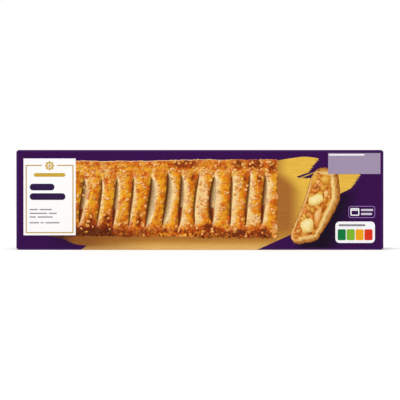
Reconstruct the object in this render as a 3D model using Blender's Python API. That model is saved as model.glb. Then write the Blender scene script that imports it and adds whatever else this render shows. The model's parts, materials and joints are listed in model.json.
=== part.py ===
"""A shut folding carton for one apple strudel, standing on its long narrow side.

The carton is one blank of coated board, folded and glued. Its sleeve has four long folds, and the back panel's lower
edge laps over the glue flap. Each end shuts with two dust flaps from the narrow panels, an inner flap from the back
panel and an outer flap from the front panel, which lie on each other as three layers of board. It can't be seen into,
so it is one solid.

Frame: metres, +Z up, +X along the carton, the printed front panel towards -Y. The origin is the middle of the base.
"""

import math

import bmesh
import bpy
from mathutils import Vector

# Driving sizes of the carton, over its folds.
LENGTH = 0.340
HEIGHT = 0.0925
DEPTH = 0.048

# The board, how it folds, and how far the two wide panels swell out between their folds.
BOARD = 0.0006
FOLD_RADIUS = 0.0009
FOLD_STEPS = 4
SWELL = 0.0008
SWELL_CELLS_ALONG = 16
SWELL_CELLS_UP = 6

# The end flaps. A flap is a little narrower than its panel, and narrower still at its free edge.
FLAP_SIDE_RELIEF = 0.0011
FLAP_TAPER = 0.0020
FLAP_CORNER_RADIUS = 0.004
OUTER_FLAP_SHORT_BY = 0.0022
INNER_FLAP_SHORT_BY = 0.009
CORNER_STEPS = 5

# The long glued seam at the back, just above the base.
SEAM_RISE = 0.0022
PANEL_ROOT = 0.004

PRINTED_PURPLE = (0.041, 0.005, 0.078, 1.0)

OUTER_END = LENGTH / 2
INNER_END = OUTER_END - BOARD
DUST_END = INNER_END - BOARD


def clear_scene():
    for obj in list(bpy.data.objects):
        bpy.data.objects.remove(obj)


def printed_board():
    """The coated board, as printed outside."""
    material = bpy.data.materials.new("printed_board")
    material.use_nodes = True
    shader = material.node_tree.nodes["Principled BSDF"]
    shader.inputs["Base Color"].default_value = PRINTED_PURPLE
    shader.inputs["Roughness"].default_value = 0.45
    shader.inputs["Metallic"].default_value = 0.0
    return material


def object_from(bm, name):
    """Turns a bmesh into a linked object."""
    bmesh.ops.recalc_face_normals(bm, faces=bm.faces)
    mesh = bpy.data.meshes.new(name)
    bm.to_mesh(mesh)
    bm.free()
    obj = bpy.data.objects.new(name, mesh)
    bpy.context.scene.collection.objects.link(obj)
    return obj


def block(low, high):
    """A bmesh of the box between two corners."""
    bm = bmesh.new()
    bmesh.ops.create_cube(bm, size=1.0)
    low, high = Vector(low), Vector(high)
    for vertex in bm.verts:
        vertex.co = Vector(l + (h - l) * (c + 0.5) for l, h, c in zip(low, high, vertex.co))
    return bm


def round_edges(bm, edges):
    """Rounds these edges to the radius of a fold."""
    bmesh.ops.bevel(
        bm,
        geom=edges,
        offset=FOLD_RADIUS,
        offset_type="OFFSET",
        segments=FOLD_STEPS,
        profile=0.5,
        affect="EDGES",
        clamp_overlap=True,
    )


def cut_across(bm, point, direction):
    """Cuts every face that the plane through point crosses, and keeps both sides."""
    everything = bm.verts[:] + bm.edges[:] + bm.faces[:]
    bmesh.ops.bisect_plane(bm, geom=everything, dist=1e-6, plane_co=point, plane_no=direction)


def swell_panel(bm, panel_y):
    """Swells the wide panel at panel_y outwards: most in its middle, and not at all at its folds."""
    for cell in range(1, SWELL_CELLS_ALONG):
        cut_across(bm, (LENGTH * (cell / SWELL_CELLS_ALONG - 0.5), 0, 0), (1, 0, 0))
    for cell in range(1, SWELL_CELLS_UP):
        cut_across(bm, (0, 0, HEIGHT * cell / SWELL_CELLS_UP), (0, 0, 1))
    half_length, half_height = DUST_END - FOLD_RADIUS, HEIGHT / 2 - FOLD_RADIUS
    for vertex in (v for v in bm.verts if math.isclose(v.co.y, panel_y, abs_tol=1e-6)):
        along = vertex.co.x / half_length
        up = (vertex.co.z - HEIGHT / 2) / half_height
        swell = SWELL * max(0, 1 - along**4) * max(0, 1 - up**2)
        vertex.co.y += math.copysign(swell, panel_y)


def sleeve_core():
    """The sleeve under the back panel, shut at the ends by the dust flaps, with every edge a fold."""
    bm = block((-DUST_END, -DEPTH / 2, 0), (DUST_END, DEPTH / 2 - BOARD, HEIGHT))
    round_edges(bm, bm.edges[:])
    swell_panel(bm, -DEPTH / 2)
    return object_from(bm, "sleeve_core")


def back_panel():
    """The back panel, whose cut lower edge ends short of the base over the glue flap."""
    bm = block((-DUST_END, DEPTH / 2 - PANEL_ROOT, SEAM_RISE), (DUST_END, DEPTH / 2, HEIGHT))
    folds = [
        edge
        for edge in bm.edges
        if all(math.isclose(v.co.y, DEPTH / 2, abs_tol=1e-6) for v in edge.verts)
        and not all(math.isclose(v.co.z, SEAM_RISE, abs_tol=1e-6) for v in edge.verts)
    ]
    tops = [
        edge
        for edge in bm.edges
        if all(math.isclose(v.co.z, HEIGHT, abs_tol=1e-6) for v in edge.verts)
        and math.isclose(edge.verts[0].co.x, edge.verts[1].co.x, abs_tol=1e-6)
    ]
    round_edges(bm, folds + tops)
    swell_panel(bm, DEPTH / 2)
    return object_from(bm, "back_panel")


def flap_outline(hinge_y, free_y):
    """A flap seen from the end of the carton, as points (y, z) from its hinge to its rounded, narrower free edge."""
    toward = 1 if free_y > hinge_y else -1
    low, high = FLAP_SIDE_RELIEF, HEIGHT - FLAP_SIDE_RELIEF
    free_low, free_high = low + FLAP_TAPER, high - FLAP_TAPER
    centre_y = free_y - toward * FLAP_CORNER_RADIUS
    points = [(hinge_y, high), (hinge_y, low)]
    for centre_z, start in ((free_low + FLAP_CORNER_RADIUS, -90), (free_high - FLAP_CORNER_RADIUS, 0)):
        for step in range(CORNER_STEPS + 1):
            angle = math.radians(start + 90 * step / CORNER_STEPS)
            across = toward * FLAP_CORNER_RADIUS * math.cos(angle)
            points.append((centre_y + across, centre_z + FLAP_CORNER_RADIUS * math.sin(angle)))
    return points


def flap_pair(name, hinge_y, free_y, reach):
    """The two end flaps of one wide panel, joined through the carton, each hinged on a rounded fold."""
    bm = bmesh.new()
    face = bm.faces.new([bm.verts.new((-reach, y, z)) for y, z in flap_outline(hinge_y, free_y)])
    grown = bmesh.ops.extrude_face_region(bm, geom=[face])
    for vertex in (v for v in grown["geom"] if isinstance(v, bmesh.types.BMVert)):
        vertex.co.x = reach
    hinges = [
        edge
        for edge in bm.edges
        if all(math.isclose(v.co.y, hinge_y, abs_tol=1e-6) for v in edge.verts)
        and math.isclose(edge.verts[0].co.x, edge.verts[1].co.x, abs_tol=1e-6)
    ]
    round_edges(bm, hinges)
    return object_from(bm, name)


def join(whole, piece):
    """Adds piece to whole with a Boolean union, and keeps piece only as a hidden helper."""
    union = whole.modifiers.new(piece.name, "BOOLEAN")
    union.operation = "UNION"
    union.solver = "EXACT"
    union.object = piece
    piece.hide_render = True
    piece.display_type = "WIRE"


def carton():
    """The shut carton as one solid."""
    whole = sleeve_core()
    whole.name = "carton"
    front_y, back_y = -DEPTH / 2, DEPTH / 2
    join(whole, back_panel())
    join(whole, flap_pair("inner_flaps", back_y, front_y + INNER_FLAP_SHORT_BY, INNER_END))
    join(whole, flap_pair("outer_flaps", front_y, back_y - OUTER_FLAP_SHORT_BY, OUTER_END))
    whole.data.materials.append(printed_board())
    return whole


def main():
    clear_scene()
    carton()


main()
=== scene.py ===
"""Looks of a shut folding carton for one apple strudel, laid out as a Blender add-on.

The carton is folded from coated board and printed outside: purple all over, a swept gold field, a large
picture of a strudel, a picture of a slice, a white label and small marks. Each print is a thin closed layer
that lies on its panel and follows the panel's swell. Lengths are in metres, and a panel's own places are
measured to the right and upwards from the middle of its lower edge, as someone who faces that panel sees
it.
"""

import json
import math
import random
from typing import NamedTuple

import bmesh
import bpy
from bpy.props import FloatProperty, FloatVectorProperty, IntProperty, PointerProperty
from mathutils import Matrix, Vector, noise

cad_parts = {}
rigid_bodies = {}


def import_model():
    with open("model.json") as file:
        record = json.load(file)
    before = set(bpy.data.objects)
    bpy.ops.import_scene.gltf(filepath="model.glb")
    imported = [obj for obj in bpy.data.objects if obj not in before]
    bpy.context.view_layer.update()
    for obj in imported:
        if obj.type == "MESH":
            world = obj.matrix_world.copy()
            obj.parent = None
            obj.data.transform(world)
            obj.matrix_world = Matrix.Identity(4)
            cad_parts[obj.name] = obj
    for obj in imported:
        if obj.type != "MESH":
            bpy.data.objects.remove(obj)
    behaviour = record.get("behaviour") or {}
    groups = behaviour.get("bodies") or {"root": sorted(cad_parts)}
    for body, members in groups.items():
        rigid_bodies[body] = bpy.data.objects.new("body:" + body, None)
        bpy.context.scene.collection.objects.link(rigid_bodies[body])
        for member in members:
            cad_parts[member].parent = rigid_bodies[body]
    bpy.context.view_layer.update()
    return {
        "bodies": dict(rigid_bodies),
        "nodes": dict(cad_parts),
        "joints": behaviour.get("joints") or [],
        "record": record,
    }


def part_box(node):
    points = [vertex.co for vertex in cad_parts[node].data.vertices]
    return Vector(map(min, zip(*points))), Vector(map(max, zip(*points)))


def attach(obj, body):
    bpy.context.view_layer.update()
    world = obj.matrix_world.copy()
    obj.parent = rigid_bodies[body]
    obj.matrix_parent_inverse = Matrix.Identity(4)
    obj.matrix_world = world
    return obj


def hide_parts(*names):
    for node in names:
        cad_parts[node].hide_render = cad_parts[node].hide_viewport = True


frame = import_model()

bl_info = {
    "name": "Strudel carton looks",
    "version": (1, 0, 0),
    "blender": (4, 5, 0),
    "location": "View3D > Sidebar > Carton",
    "description": "Dresses the shut folding carton of an apple strudel: its board, its folds and its prints",
    "category": "Object",
}

MM = 0.001
LOWEST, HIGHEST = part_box("carton")

# The solid's own sizes, which the dressed board follows.
LENGTH = HIGHEST.x - LOWEST.x
HEIGHT = HIGHEST.z - LOWEST.z
SWELL = 0.8 * MM
DEPTH = HIGHEST.y - LOWEST.y - 2 * SWELL
BOARD = 0.6 * MM
FOLD = 0.9 * MM
FOLD_ARC = FOLD * math.pi / 2
OUTER_END = LENGTH / 2
INNER_END = OUTER_END - BOARD
DUST_END = INNER_END - BOARD

# Ink layers: how thick one is, how far apart they lie, and how finely one is cut to follow a swollen panel.
INK = 0.015 * MM
LAYER = 0.02 * MM
CELL = 8 * MM


def linear(hex_colour):
    """An sRGB hex colour as linear red, green and blue, with an alpha of one."""
    channels = [int(hex_colour[start : start + 2], 16) / 255 for start in (1, 3, 5)]
    return (*(c / 12.92 if c <= 0.04045 else ((c + 0.055) / 1.055) ** 2.4 for c in channels), 1.0)


def ink_property(name, hex_colour, description):
    return FloatVectorProperty(
        name=name, description=description, subtype="COLOR", size=4, min=0.0, max=1.0,
        default=linear(hex_colour)
    )


def length_property(name, millimetres, description):
    return FloatProperty(name=name, description=description, unit="LENGTH", precision=4,
                         default=millimetres * MM)


# ---------------------------------------------------------------------- settings


class BoardSettings(bpy.types.PropertyGroup):
    """The board and its ground colour."""

    ground: ink_property("Ground", "#36044B", "Purple printed all over the outside")
    # Painted highlight: a lighter purple along every fold, where the rounded fold would catch the light.
    fold_highlight: ink_property("Crease", "#3F1256", "Purple where the ink has stretched over a fold")
    shade: ink_property("Shade", "#16021F", "Purple in the printed shadow beside the pictured slice")
    cut_edge: ink_property("Cut edge", "#C9C2B6", "Raw board where a flap is cut")
    # How wide the painted highlight along each fold is.
    fold_highlight_width: length_property("Crease width", 1.9, "How far the lighter crease reaches from a fold")


class GoldSettings(bpy.types.PropertyGroup):
    """The swept gold field behind the pictures."""

    bright: ink_property("Bright gold", "#E8B846", "Gold where no shadow falls")
    pale: ink_property("Pale gold", "#ECC273", "Gold at the lower fold")
    deep: ink_property("Shaded gold", "#A9692A", "Gold in the printed shadow of the pastry")
    tooth: length_property("Bristle mark", 2.6, "How far one dry bristle mark reaches at a ragged end")


class PastrySettings(bpy.types.PropertyGroup):
    """The large picture of a strudel with a slit top."""

    left: length_property("Left end", -128, "Left end of the picture, under the label")
    right: length_property("Right end", 71.6, "Straight cut end of the strudel")
    foot: length_property("Foot", 12.0, "Mean height of the lower outline")
    head: length_property("Head", 82.4, "Mean height of the upper outline")
    grain: length_property("Sugar grain", 2.5, "Size of a mean grain of sugar")
    grain_count: IntProperty(name="Grains", description="Grains of sugar on the strudel", default=1120, min=0)
    seed: IntProperty(name="Seed", description="Seed of all that is uneven in the picture", default=7)


class SliceSettings(bpy.types.PropertyGroup):
    """The picture of one cut slice, which stands leaning to the right."""

    shift: length_property("Shift", 0.0, "How far the whole slice is moved to the right")
    bottom_crust: length_property("Bottom crust", 2.4, "Thickness of the thin crust at the slice's left")
    top_crust: length_property("Top crust", 8.0, "Thickness of the flaky crust at the slice's right")
    end_crust: length_property("End crust", 6.6, "Thickness of the crust at the slice's foot and head")
    seed: IntProperty(name="Seed", description="Seed of the uneven shapes in the slice", default=4)


class LabelSettings(bpy.types.PropertyGroup):
    """The white label at the left."""

    left: length_property("Left", -163.2, "Left edge of the label")
    foot: length_property("Foot", 13.5, "Lower edge of the label")
    width: length_property("Width", 48.3, "Width of the label")
    height: length_property("Height", 71.05, "Height of the label")
    keyline: length_property("Keyline", 1.0, "Width of the gold line inside the label")
    paper: ink_property("White", "#FFFEFD", "White of the label")
    gold: ink_property("Gold", "#C2A04C", "Gold of the keyline")
    ornament: ink_property("Ornament", "#CEA63A", "Gold of the small ornament")
    title: ink_property("Title", "#2E1746", "Dark purple of the two title bars")
    words: ink_property("Words", "#9A94A0", "Grey of the thin bars")


class MarkSettings(bpy.types.PropertyGroup):
    """The date field, the oven mark and the small card at the right."""

    field: ink_property("Date field", "#A392AD", "Lilac of the field left free for a date")
    light: ink_property("Light", "#FBFAFC", "White of the small marks")
    line: ink_property("Line", "#AE86CE", "Lilac of thin lines")
    pale: ink_property("Pale", "#D2C8DA", "Pale lilac of the bars beside the oven mark")
    words: ink_property("Words", "#8F8A92", "Grey of the bar on the card")
    green: ink_property("Green", "#0E7A3E", "First mark on the card")
    lime: ink_property("Lime", "#7FB62E", "Second mark on the card")
    amber: ink_property("Amber", "#F2A516", "Third mark on the card")
    red: ink_property("Red", "#DD3518", "Fourth mark on the card")


class SidesSettings(bpy.types.PropertyGroup):
    """The prints on the sides that face away from the camera."""

    margin: length_property("Margin", 7, "Clear space inside the edges of a panel")
    word_height: length_property("Word height", 1.3, "Height of one small bar that stands for a word")
    line_pitch: length_property("Line pitch", 2.6, "Distance from one row of small bars to the next")
    seed: IntProperty(name="Seed", description="Seed of the rows of small bars", default=21)


class StageSettings(bpy.types.PropertyGroup):
    """Camera, light and floor."""

    lens: FloatProperty(name="Lens", description="Focal length in millimetres", default=135.0)
    view_width: length_property("View width", 370.22, "Width of the view at the front panel")
    view_height: length_property("View height", 46.14, "Height of the camera above the floor")
    floor: length_property("Floor", 8000, "Side of the square floor")
    ambient: FloatProperty(name="Ambient", description="Strength of the even light of the room", default=0.55)
    overhead: FloatProperty(name="Overhead", description="Strength of the large soft light overhead",
                            default=1.82)


SETTINGS = {
    "carton_board": BoardSettings,
    "carton_gold": GoldSettings,
    "carton_pastry": PastrySettings,
    "carton_slice": SliceSettings,
    "carton_label": LabelSettings,
    "carton_marks": MarkSettings,
    "carton_sides": SidesSettings,
    "carton_stage": StageSettings,
}


# ---------------------------------------------------------------------- panels


def swell(x, z):
    """How far a wide panel stands out at this place: most in its middle, and not at all at its folds."""
    along = x / (DUST_END - FOLD)
    up = (z - HEIGHT / 2) / (HEIGHT / 2 - FOLD)
    return SWELL * max(0.0, 1 - along**4) * max(0.0, 1 - up**2)


def around_fold(past, lift):
    """Outward and onward travel for a layer that has gone this far past the start of a fold."""
    angle = min(past / FOLD, math.pi / 2)
    onward = (FOLD + lift) * math.sin(angle)
    inward = (FOLD + lift) * (1 - math.cos(angle)) - lift
    return onward, inward + max(0.0, past - FOLD_ARC)


def on_front(u, v, lift):
    """A place on the front panel.

    Below the lower fold's start it goes round the fold and on under the base.
    """
    if v >= FOLD:
        return Vector((u, -DEPTH / 2 - swell(u, v) - lift, v))
    onward, inward = around_fold(FOLD - v, lift)
    return Vector((u, -DEPTH / 2 + inward, FOLD - onward))


def on_back(u, v, lift):
    return Vector((-u, DEPTH / 2 + swell(u, v) + lift, v))


def on_top(u, v, lift):
    return Vector((u, v - DEPTH / 2, HEIGHT + lift))


def on_right_end(u, v, lift):
    return Vector((OUTER_END + lift, u, v))


def on_left_end(u, v, lift):
    return Vector((-OUTER_END - lift, -u, v))


# ---------------------------------------------------------------------- drawing in the flat


def cut_across(bm, point, direction):
    """Cuts every face that the plane through point crosses, and keeps both sides."""
    everything = bm.verts[:] + bm.edges[:] + bm.faces[:]
    bmesh.ops.bisect_plane(bm, geom=everything, dist=1e-7, plane_co=point, plane_no=direction)


def cut_lattice(bm):
    """Cuts a flat drawing into cells small enough to follow a swollen panel, and finer round a fold."""
    us = [vertex.co.x for vertex in bm.verts]
    vs = [vertex.co.y for vertex in bm.verts]
    for line in range(math.ceil(min(us) / CELL), math.ceil(max(us) / CELL)):
        cut_across(bm, (line * CELL, 0, 0), (1, 0, 0))
    heights = [line * CELL for line in range(math.ceil(min(vs) / CELL), math.ceil(max(vs) / CELL))]
    if min(vs) < FOLD:
        heights += [FOLD - FOLD_ARC * step / 5 for step in range(6)]
    for height in heights:
        cut_across(bm, (0, height, 0), (0, 1, 0))


def fill_all(outlines):
    """One flat drawing of several filled outlines that don't overlap."""
    bm = bmesh.new()
    for points in outlines:
        bm.faces.new([bm.verts.new((u, v, 0)) for u, v in points])
    bm.normal_update()
    bmesh.ops.triangulate(bm, faces=bm.faces[:])
    return bm


def fill(points):
    """A flat drawing of one filled outline."""
    return fill_all([points])


def band(lines):
    """Flat quads between neighbouring lines of points. All the lines have the same number of points."""
    bm = bmesh.new()
    rows = [[bm.verts.new((u, v, 0)) for u, v in line] for line in lines]
    for row, following in zip(rows, rows[1:]):
        for index in range(len(row) - 1):
            bm.faces.new((row[index], row[index + 1], following[index + 1], following[index]))
    return bm


def arc(centre, radius, start, end, steps):
    """Points along an arc, with its angles in degrees."""
    angles = (math.radians(start + (end - start) * step / steps) for step in range(steps + 1))
    return [(centre[0] + radius * math.cos(a), centre[1] + radius * math.sin(a)) for a in angles]


def rounded_box(left, foot, width, height, radius, steps=6):
    """The outline of a box with round corners."""
    right, head = left + width - radius, foot + height - radius
    left, foot = left + radius, foot + radius
    return (
        arc((right, foot), radius, -90, 0, steps)
        + arc((right, head), radius, 0, 90, steps)
        + arc((left, head), radius, 90, 180, steps)
        + arc((left, foot), radius, 180, 270, steps)
    )


def box(left, foot, width, height):
    return [(left, foot), (left + width, foot), (left + width, foot + height), (left, foot + height)]


def bar(left, middle, width, height):
    """A bar with half-round ends, standing for a line of words."""
    return rounded_box(left, middle - height / 2, width, height, height * 0.49, 4)


def ring(outer, inner):
    """A flat ring between two outlines with the same number of points."""
    return band([outer + outer[:1], inner + inner[:1]])


def smooth_line(points, steps=6):
    """A Catmull-Rom curve through a few points, from the first to the last."""
    ends = [points[0], *points, points[-1]]
    curve = []
    for a, b, c, d in zip(ends, ends[1:], ends[2:], ends[3:]):
        a, b, c, d = (Vector(p) for p in (a, b, c, d))
        for step in range(steps):
            t = step / steps
            curve.append(
                tuple(
                    0.5 * (2 * b + (c - a) * t
                           + (2 * a - 5 * b + 4 * c - d) * t**2 + (3 * b - a - 3 * c + d) * t**3)
                )
            )
    return [*curve, tuple(points[-1])]


def ragged_line(points, tooth, spacing, along, seed):
    """A line through the points, broken into uneven bristle marks that reach along a direction."""
    rng = random.Random(seed)
    direction = Vector(along).normalized()
    broken = [tuple(points[0])]
    for start, end in zip(points, points[1:]):
        start, end = Vector(start), Vector(end)
        marks = max(1, round((end - start).length / spacing))
        for mark in range(marks):
            for share, low, high in ((0.35, 0.3, 1.0), (0.62, -0.2, 0.5), (1.0, -0.9, 0.0)):
                place = start.lerp(end, (mark + share * rng.uniform(0.85, 1.0)) / marks)
                broken.append(tuple(place + direction * tooth * rng.uniform(low, high)))
    broken[-1] = tuple(points[-1])
    return broken


def metres(*places):
    """Places that are given in millimetres, in metres."""
    return [(across * MM, up * MM) for across, up in places]


def smoothstep(low, high, value):
    share = min(1.0, max(0.0, (value - low) / (high - low)))
    return share * share * (3 - 2 * share)


# ---------------------------------------------------------------------- making pieces


def keep(name, mesh):
    """Makes a finished piece of a mesh: it rides on the carton and takes its finish from the slot."""
    piece = bpy.data.objects.new(name, mesh)
    bpy.context.scene.collection.objects.link(piece)
    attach(piece, "root")
    return piece


def lay(name, bm, panel, level, material, lattice=True):
    """Lays a flat drawing on a panel as a thin closed layer of ink."""
    if lattice:
        cut_lattice(bm)
    bm.normal_update()
    for face in bm.faces:
        if face.normal.z < 0:
            face.normal_flip()
    grown = bmesh.ops.extrude_face_region(bm, geom=bm.faces[:])
    for vertex in (v for v in grown["geom"] if isinstance(v, bmesh.types.BMVert)):
        vertex.co.z = INK
    bmesh.ops.recalc_face_normals(bm, faces=bm.faces)
    for vertex in bm.verts:
        vertex.co = panel(vertex.co.x, vertex.co.y, level * LAYER + vertex.co.z)
    mesh = bpy.data.meshes.new(name)
    bm.to_mesh(mesh)
    bm.free()
    mesh.materials.append(material)
    return keep(name, mesh)


def stamp(name, mesh, panel, level):
    """Lays a flat mesh that already has its thickness and material on a panel."""
    for vertex in mesh.vertices:
        vertex.co = panel(vertex.co.x, vertex.co.y, level * LAYER + vertex.co.z)
    return keep(name, mesh)


def grown_by_nodes(name, bm, tree, inputs):
    """Runs a Geometry Nodes tree on a flat drawing and gives its result as a plain mesh."""
    mesh = bpy.data.meshes.new(name)
    bm.to_mesh(mesh)
    bm.free()
    carrier = bpy.data.objects.new(name, mesh)
    bpy.context.scene.collection.objects.link(carrier)
    modifier = carrier.modifiers.new(name, "NODES")
    modifier.node_group = tree
    for item in tree.interface.items_tree:
        if item.in_out == "INPUT" and item.name in inputs:
            modifier[item.identifier] = inputs[item.name]
    depsgraph = bpy.context.evaluated_depsgraph_get()
    result = bpy.data.meshes.new_from_object(carrier.evaluated_get(depsgraph), depsgraph=depsgraph)
    carrier.modifiers.remove(modifier)
    bpy.data.objects.remove(carrier)
    result.name = name
    return result


# ---------------------------------------------------------------------- materials


# Settings that many nodes share: a mix of two colours, a colour times another, and a range that eases in
# and out.
COLOURS = {"data_type": "RGBA"}
TINTS = {"data_type": "RGBA", "blend_type": "MULTIPLY"}
EASED = {"interpolation_type": "SMOOTHSTEP"}


def add_node(tree, kind, inputs=(), stops=(), **settings):
    """Adds one node with its settings and links.

    A socket is named, or numbered where names repeat. A node given as an input means its first output in use.
    """
    node = tree.nodes.new(kind)
    for name, value in settings.items():
        setattr(node, name, value)
    for key, value in dict(inputs).items():
        if isinstance(value, bpy.types.Node):
            value = next(output for output in value.outputs if output.enabled)
        if isinstance(value, bpy.types.NodeSocket):
            tree.links.new(value, node.inputs[key])
        else:
            node.inputs[key].default_value = value
    if stops:
        ramp = node.color_ramp
        while len(ramp.elements) < len(stops):
            ramp.elements.new(0.5)
        for element, (place, colour) in zip(ramp.elements, stops):
            element.position = place
            element.color = linear(colour)
    return node


def varnished_board(name, roughness=0.46):
    """Folding boxboard, offset printed and sealed with a satin dispersion varnish.

    The varnish keeps a little of the board's fibre: a fine grain, and long shallow waves that soften
    reflections.
    """
    material = bpy.data.materials.new(name)
    material.use_nodes = True
    tree = material.node_tree
    shader = tree.nodes["Principled BSDF"]
    shader.inputs["IOR"].default_value = 1.46
    shader.inputs["Specular IOR Level"].default_value = 0.12
    place = add_node(tree, "ShaderNodeTexCoord").outputs["Object"]
    fibre = add_node(tree, "ShaderNodeTexNoise", {"Vector": place, "Scale": 1 / (0.7 * MM), "Detail": 3.0})
    wave = add_node(tree, "ShaderNodeTexNoise", {"Vector": place, "Scale": 1 / (18 * MM), "Detail": 1.0})
    relief = add_node(tree, "ShaderNodeMath", {0: wave, 1: 6.0, 2: fibre}, operation="MULTIPLY_ADD")
    bump = add_node(tree, "ShaderNodeBump", {"Height": relief, "Strength": 0.5, "Distance": 0.02 * MM})
    tree.links.new(bump.outputs["Normal"], shader.inputs["Normal"])
    gloss = add_node(tree, "ShaderNodeMapRange", {
        "Value": fibre, "From Min": 0.3, "From Max": 0.7, "To Min": roughness - 0.05,
        "To Max": roughness + 0.06})
    tree.links.new(gloss.outputs["Result"], shader.inputs["Roughness"])
    return material, tree, shader, place


def spot_ink(name, colour, mottle=0.05):
    """One spot ink. Under the varnish it lies a little unevenly, as solid offset ink does."""
    material, tree, shader, place = varnished_board(name)
    cloud = add_node(tree, "ShaderNodeTexNoise", {"Vector": place, "Scale": 1 / (2.2 * MM), "Detail": 4.0})
    tone = add_node(tree, "ShaderNodeMapRange", {
        "Value": cloud, "From Min": 0.25, "From Max": 0.75, "To Min": 1 - mottle, "To Max": 1 + mottle})
    ink = add_node(tree, "ShaderNodeMix", {0: 1.0, 6: tuple(colour), 7: tone}, **TINTS)
    tree.links.new(ink.outputs[2], shader.inputs["Base Color"])
    return material


def purple_ground(settings):
    """The purple ground.

    It has a painted highlight, a lighter purple along every fold, and the slice's printed shadow.
    """
    material, tree, shader, place = varnished_board("offset_purple_on_boxboard")
    axes = add_node(tree, "ShaderNodeSeparateXYZ", {0: place})
    depths = []
    for axis, middle, half in (("X", 0.0, LENGTH / 2), ("Y", 0.0, DEPTH / 2), ("Z", HEIGHT / 2, HEIGHT / 2)):
        off = add_node(tree, "ShaderNodeMath", {0: axes.outputs[axis], 1: middle}, operation="SUBTRACT")
        away = add_node(tree, "ShaderNodeMath", {0: off}, operation="ABSOLUTE")
        inside = add_node(tree, "ShaderNodeMath", {0: half, 1: away}, operation="SUBTRACT")
        depths.append(inside.outputs[0])
    # The nearest fold is as far away as the middle one of the depths behind the three pairs of panels.
    lower = add_node(tree, "ShaderNodeMath", {0: depths[0], 1: depths[1]}, operation="MINIMUM")
    upper = add_node(tree, "ShaderNodeMath", {0: depths[0], 1: depths[1]}, operation="MAXIMUM")
    capped = add_node(tree, "ShaderNodeMath", {0: upper, 1: depths[2]}, operation="MINIMUM")
    fold = add_node(tree, "ShaderNodeMath", {0: lower, 1: capped}, operation="MAXIMUM")
    # Painted highlight: the purple turns lighter within a band along each fold, and the band's edge is
    # uneven.
    highlight_wobble = add_node(tree, "ShaderNodeTexNoise", {"Vector": place, "Scale": 1 / (3 * MM), "Detail": 5.0})
    wobbled_fold_distance = add_node(tree, "ShaderNodeMath", {0: highlight_wobble, 1: 0.9 * MM, 2: fold}, operation="MULTIPLY_ADD")
    fold_highlight = add_node(tree, "ShaderNodeMapRange", {
        "Value": wobbled_fold_distance, "From Min": settings.fold_highlight_width + 0.7 * MM, "From Max": settings.fold_highlight_width,
        "To Min": 0.0, "To Max": 1.0}, **EASED)
    cloud = add_node(tree, "ShaderNodeTexNoise", {"Vector": place, "Scale": 1 / (2.5 * MM), "Detail": 4.0})
    tone = add_node(tree, "ShaderNodeMapRange", {
        "Value": cloud, "From Min": 0.25, "From Max": 0.75, "To Min": 0.93, "To Max": 1.07})
    ground = add_node(tree, "ShaderNodeMix", {0: 1.0, 6: tuple(settings.ground), 7: tone}, **TINTS)
    shaded = add_node(tree, "ShaderNodeMix", {
        0: slice_shadow(tree, axes), 6: ground, 7: tuple(settings.shade)}, **COLOURS)
    # The painted highlight is laid over the ground along the folds.
    fold_highlighted = add_node(tree, "ShaderNodeMix", {0: fold_highlight, 6: shaded, 7: tuple(settings.fold_highlight)}, **COLOURS)
    tree.links.new(fold_highlighted.outputs[2], shader.inputs["Base Color"])
    return material


def slice_shadow(tree, axes):
    """How strong the printed shadows on the front panel are. The slice's is a soft leaning patch."""
    across = add_node(tree, "ShaderNodeMath", {
        0: axes.outputs["Z"], 1: -0.36, 2: axes.outputs["X"]}, operation="MULTIPLY_ADD")
    near = add_node(tree, "ShaderNodeMapRange", {
        "Value": across, "From Min": 136 * MM, "From Max": 112 * MM}, **EASED)
    start = add_node(tree, "ShaderNodeMapRange", {
        "Value": across, "From Min": 84 * MM, "From Max": 96 * MM}, **EASED)
    low = add_node(tree, "ShaderNodeMapRange", {
        "Value": axes.outputs["Z"], "From Min": 62 * MM, "From Max": 46 * MM}, **EASED)
    front = add_node(tree, "ShaderNodeMath", {
        0: axes.outputs["Y"], 1: -DEPTH / 2 + FOLD / 2}, operation="LESS_THAN")
    # The strudel casts a weaker one on the ground below its left end.
    tip = add_node(tree, "ShaderNodeMapRange", {
        "Value": axes.outputs["X"], "From Min": -146 * MM, "From Max": -124 * MM, "To Max": 0.5}, **EASED)
    left = add_node(tree, "ShaderNodeMapRange", {
        "Value": axes.outputs["X"], "From Min": -90 * MM, "From Max": -110 * MM})
    under = add_node(tree, "ShaderNodeMapRange", {
        "Value": axes.outputs["Z"], "From Min": 1 * MM, "From Max": 8 * MM})

    def product(strength, *parts):
        for part in parts:
            strength = add_node(tree, "ShaderNodeMath", {0: strength, 1: part}, operation="MULTIPLY")
            strength = strength.outputs[0]
        return strength

    casts = {0: product(near.outputs[0], start, low, front),
             1: product(tip.outputs[0], left, under, low, front)}
    return add_node(tree, "ShaderNodeMath", casts, operation="MAXIMUM").outputs[0]


def raw_board(settings):
    """The cut edge of folding boxboard: matt pulp with an uneven tone and a fine bump."""
    material = bpy.data.materials.new("cut_boxboard")
    material.use_nodes = True
    tree = material.node_tree
    shader = tree.nodes["Principled BSDF"]
    shader.inputs["Roughness"].default_value = 0.9
    place = add_node(tree, "ShaderNodeTexCoord").outputs["Object"]
    pulp = add_node(tree, "ShaderNodeTexNoise", {"Vector": place, "Scale": 1 / (0.5 * MM), "Detail": 4.0})
    tone = add_node(tree, "ShaderNodeMapRange", {"Value": pulp, "To Min": 0.8, "To Max": 1.1})
    colour = add_node(tree, "ShaderNodeMix", {0: 1.0, 6: tuple(settings.cut_edge), 7: tone}, **TINTS)
    bump = add_node(tree, "ShaderNodeBump", {"Height": pulp, "Strength": 0.6, "Distance": 0.05 * MM})
    tree.links.new(colour.outputs[2], shader.inputs["Base Color"])
    tree.links.new(bump.outputs["Normal"], shader.inputs["Normal"])
    return material


# ---------------------------------------------------------------------- the folded board


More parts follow.
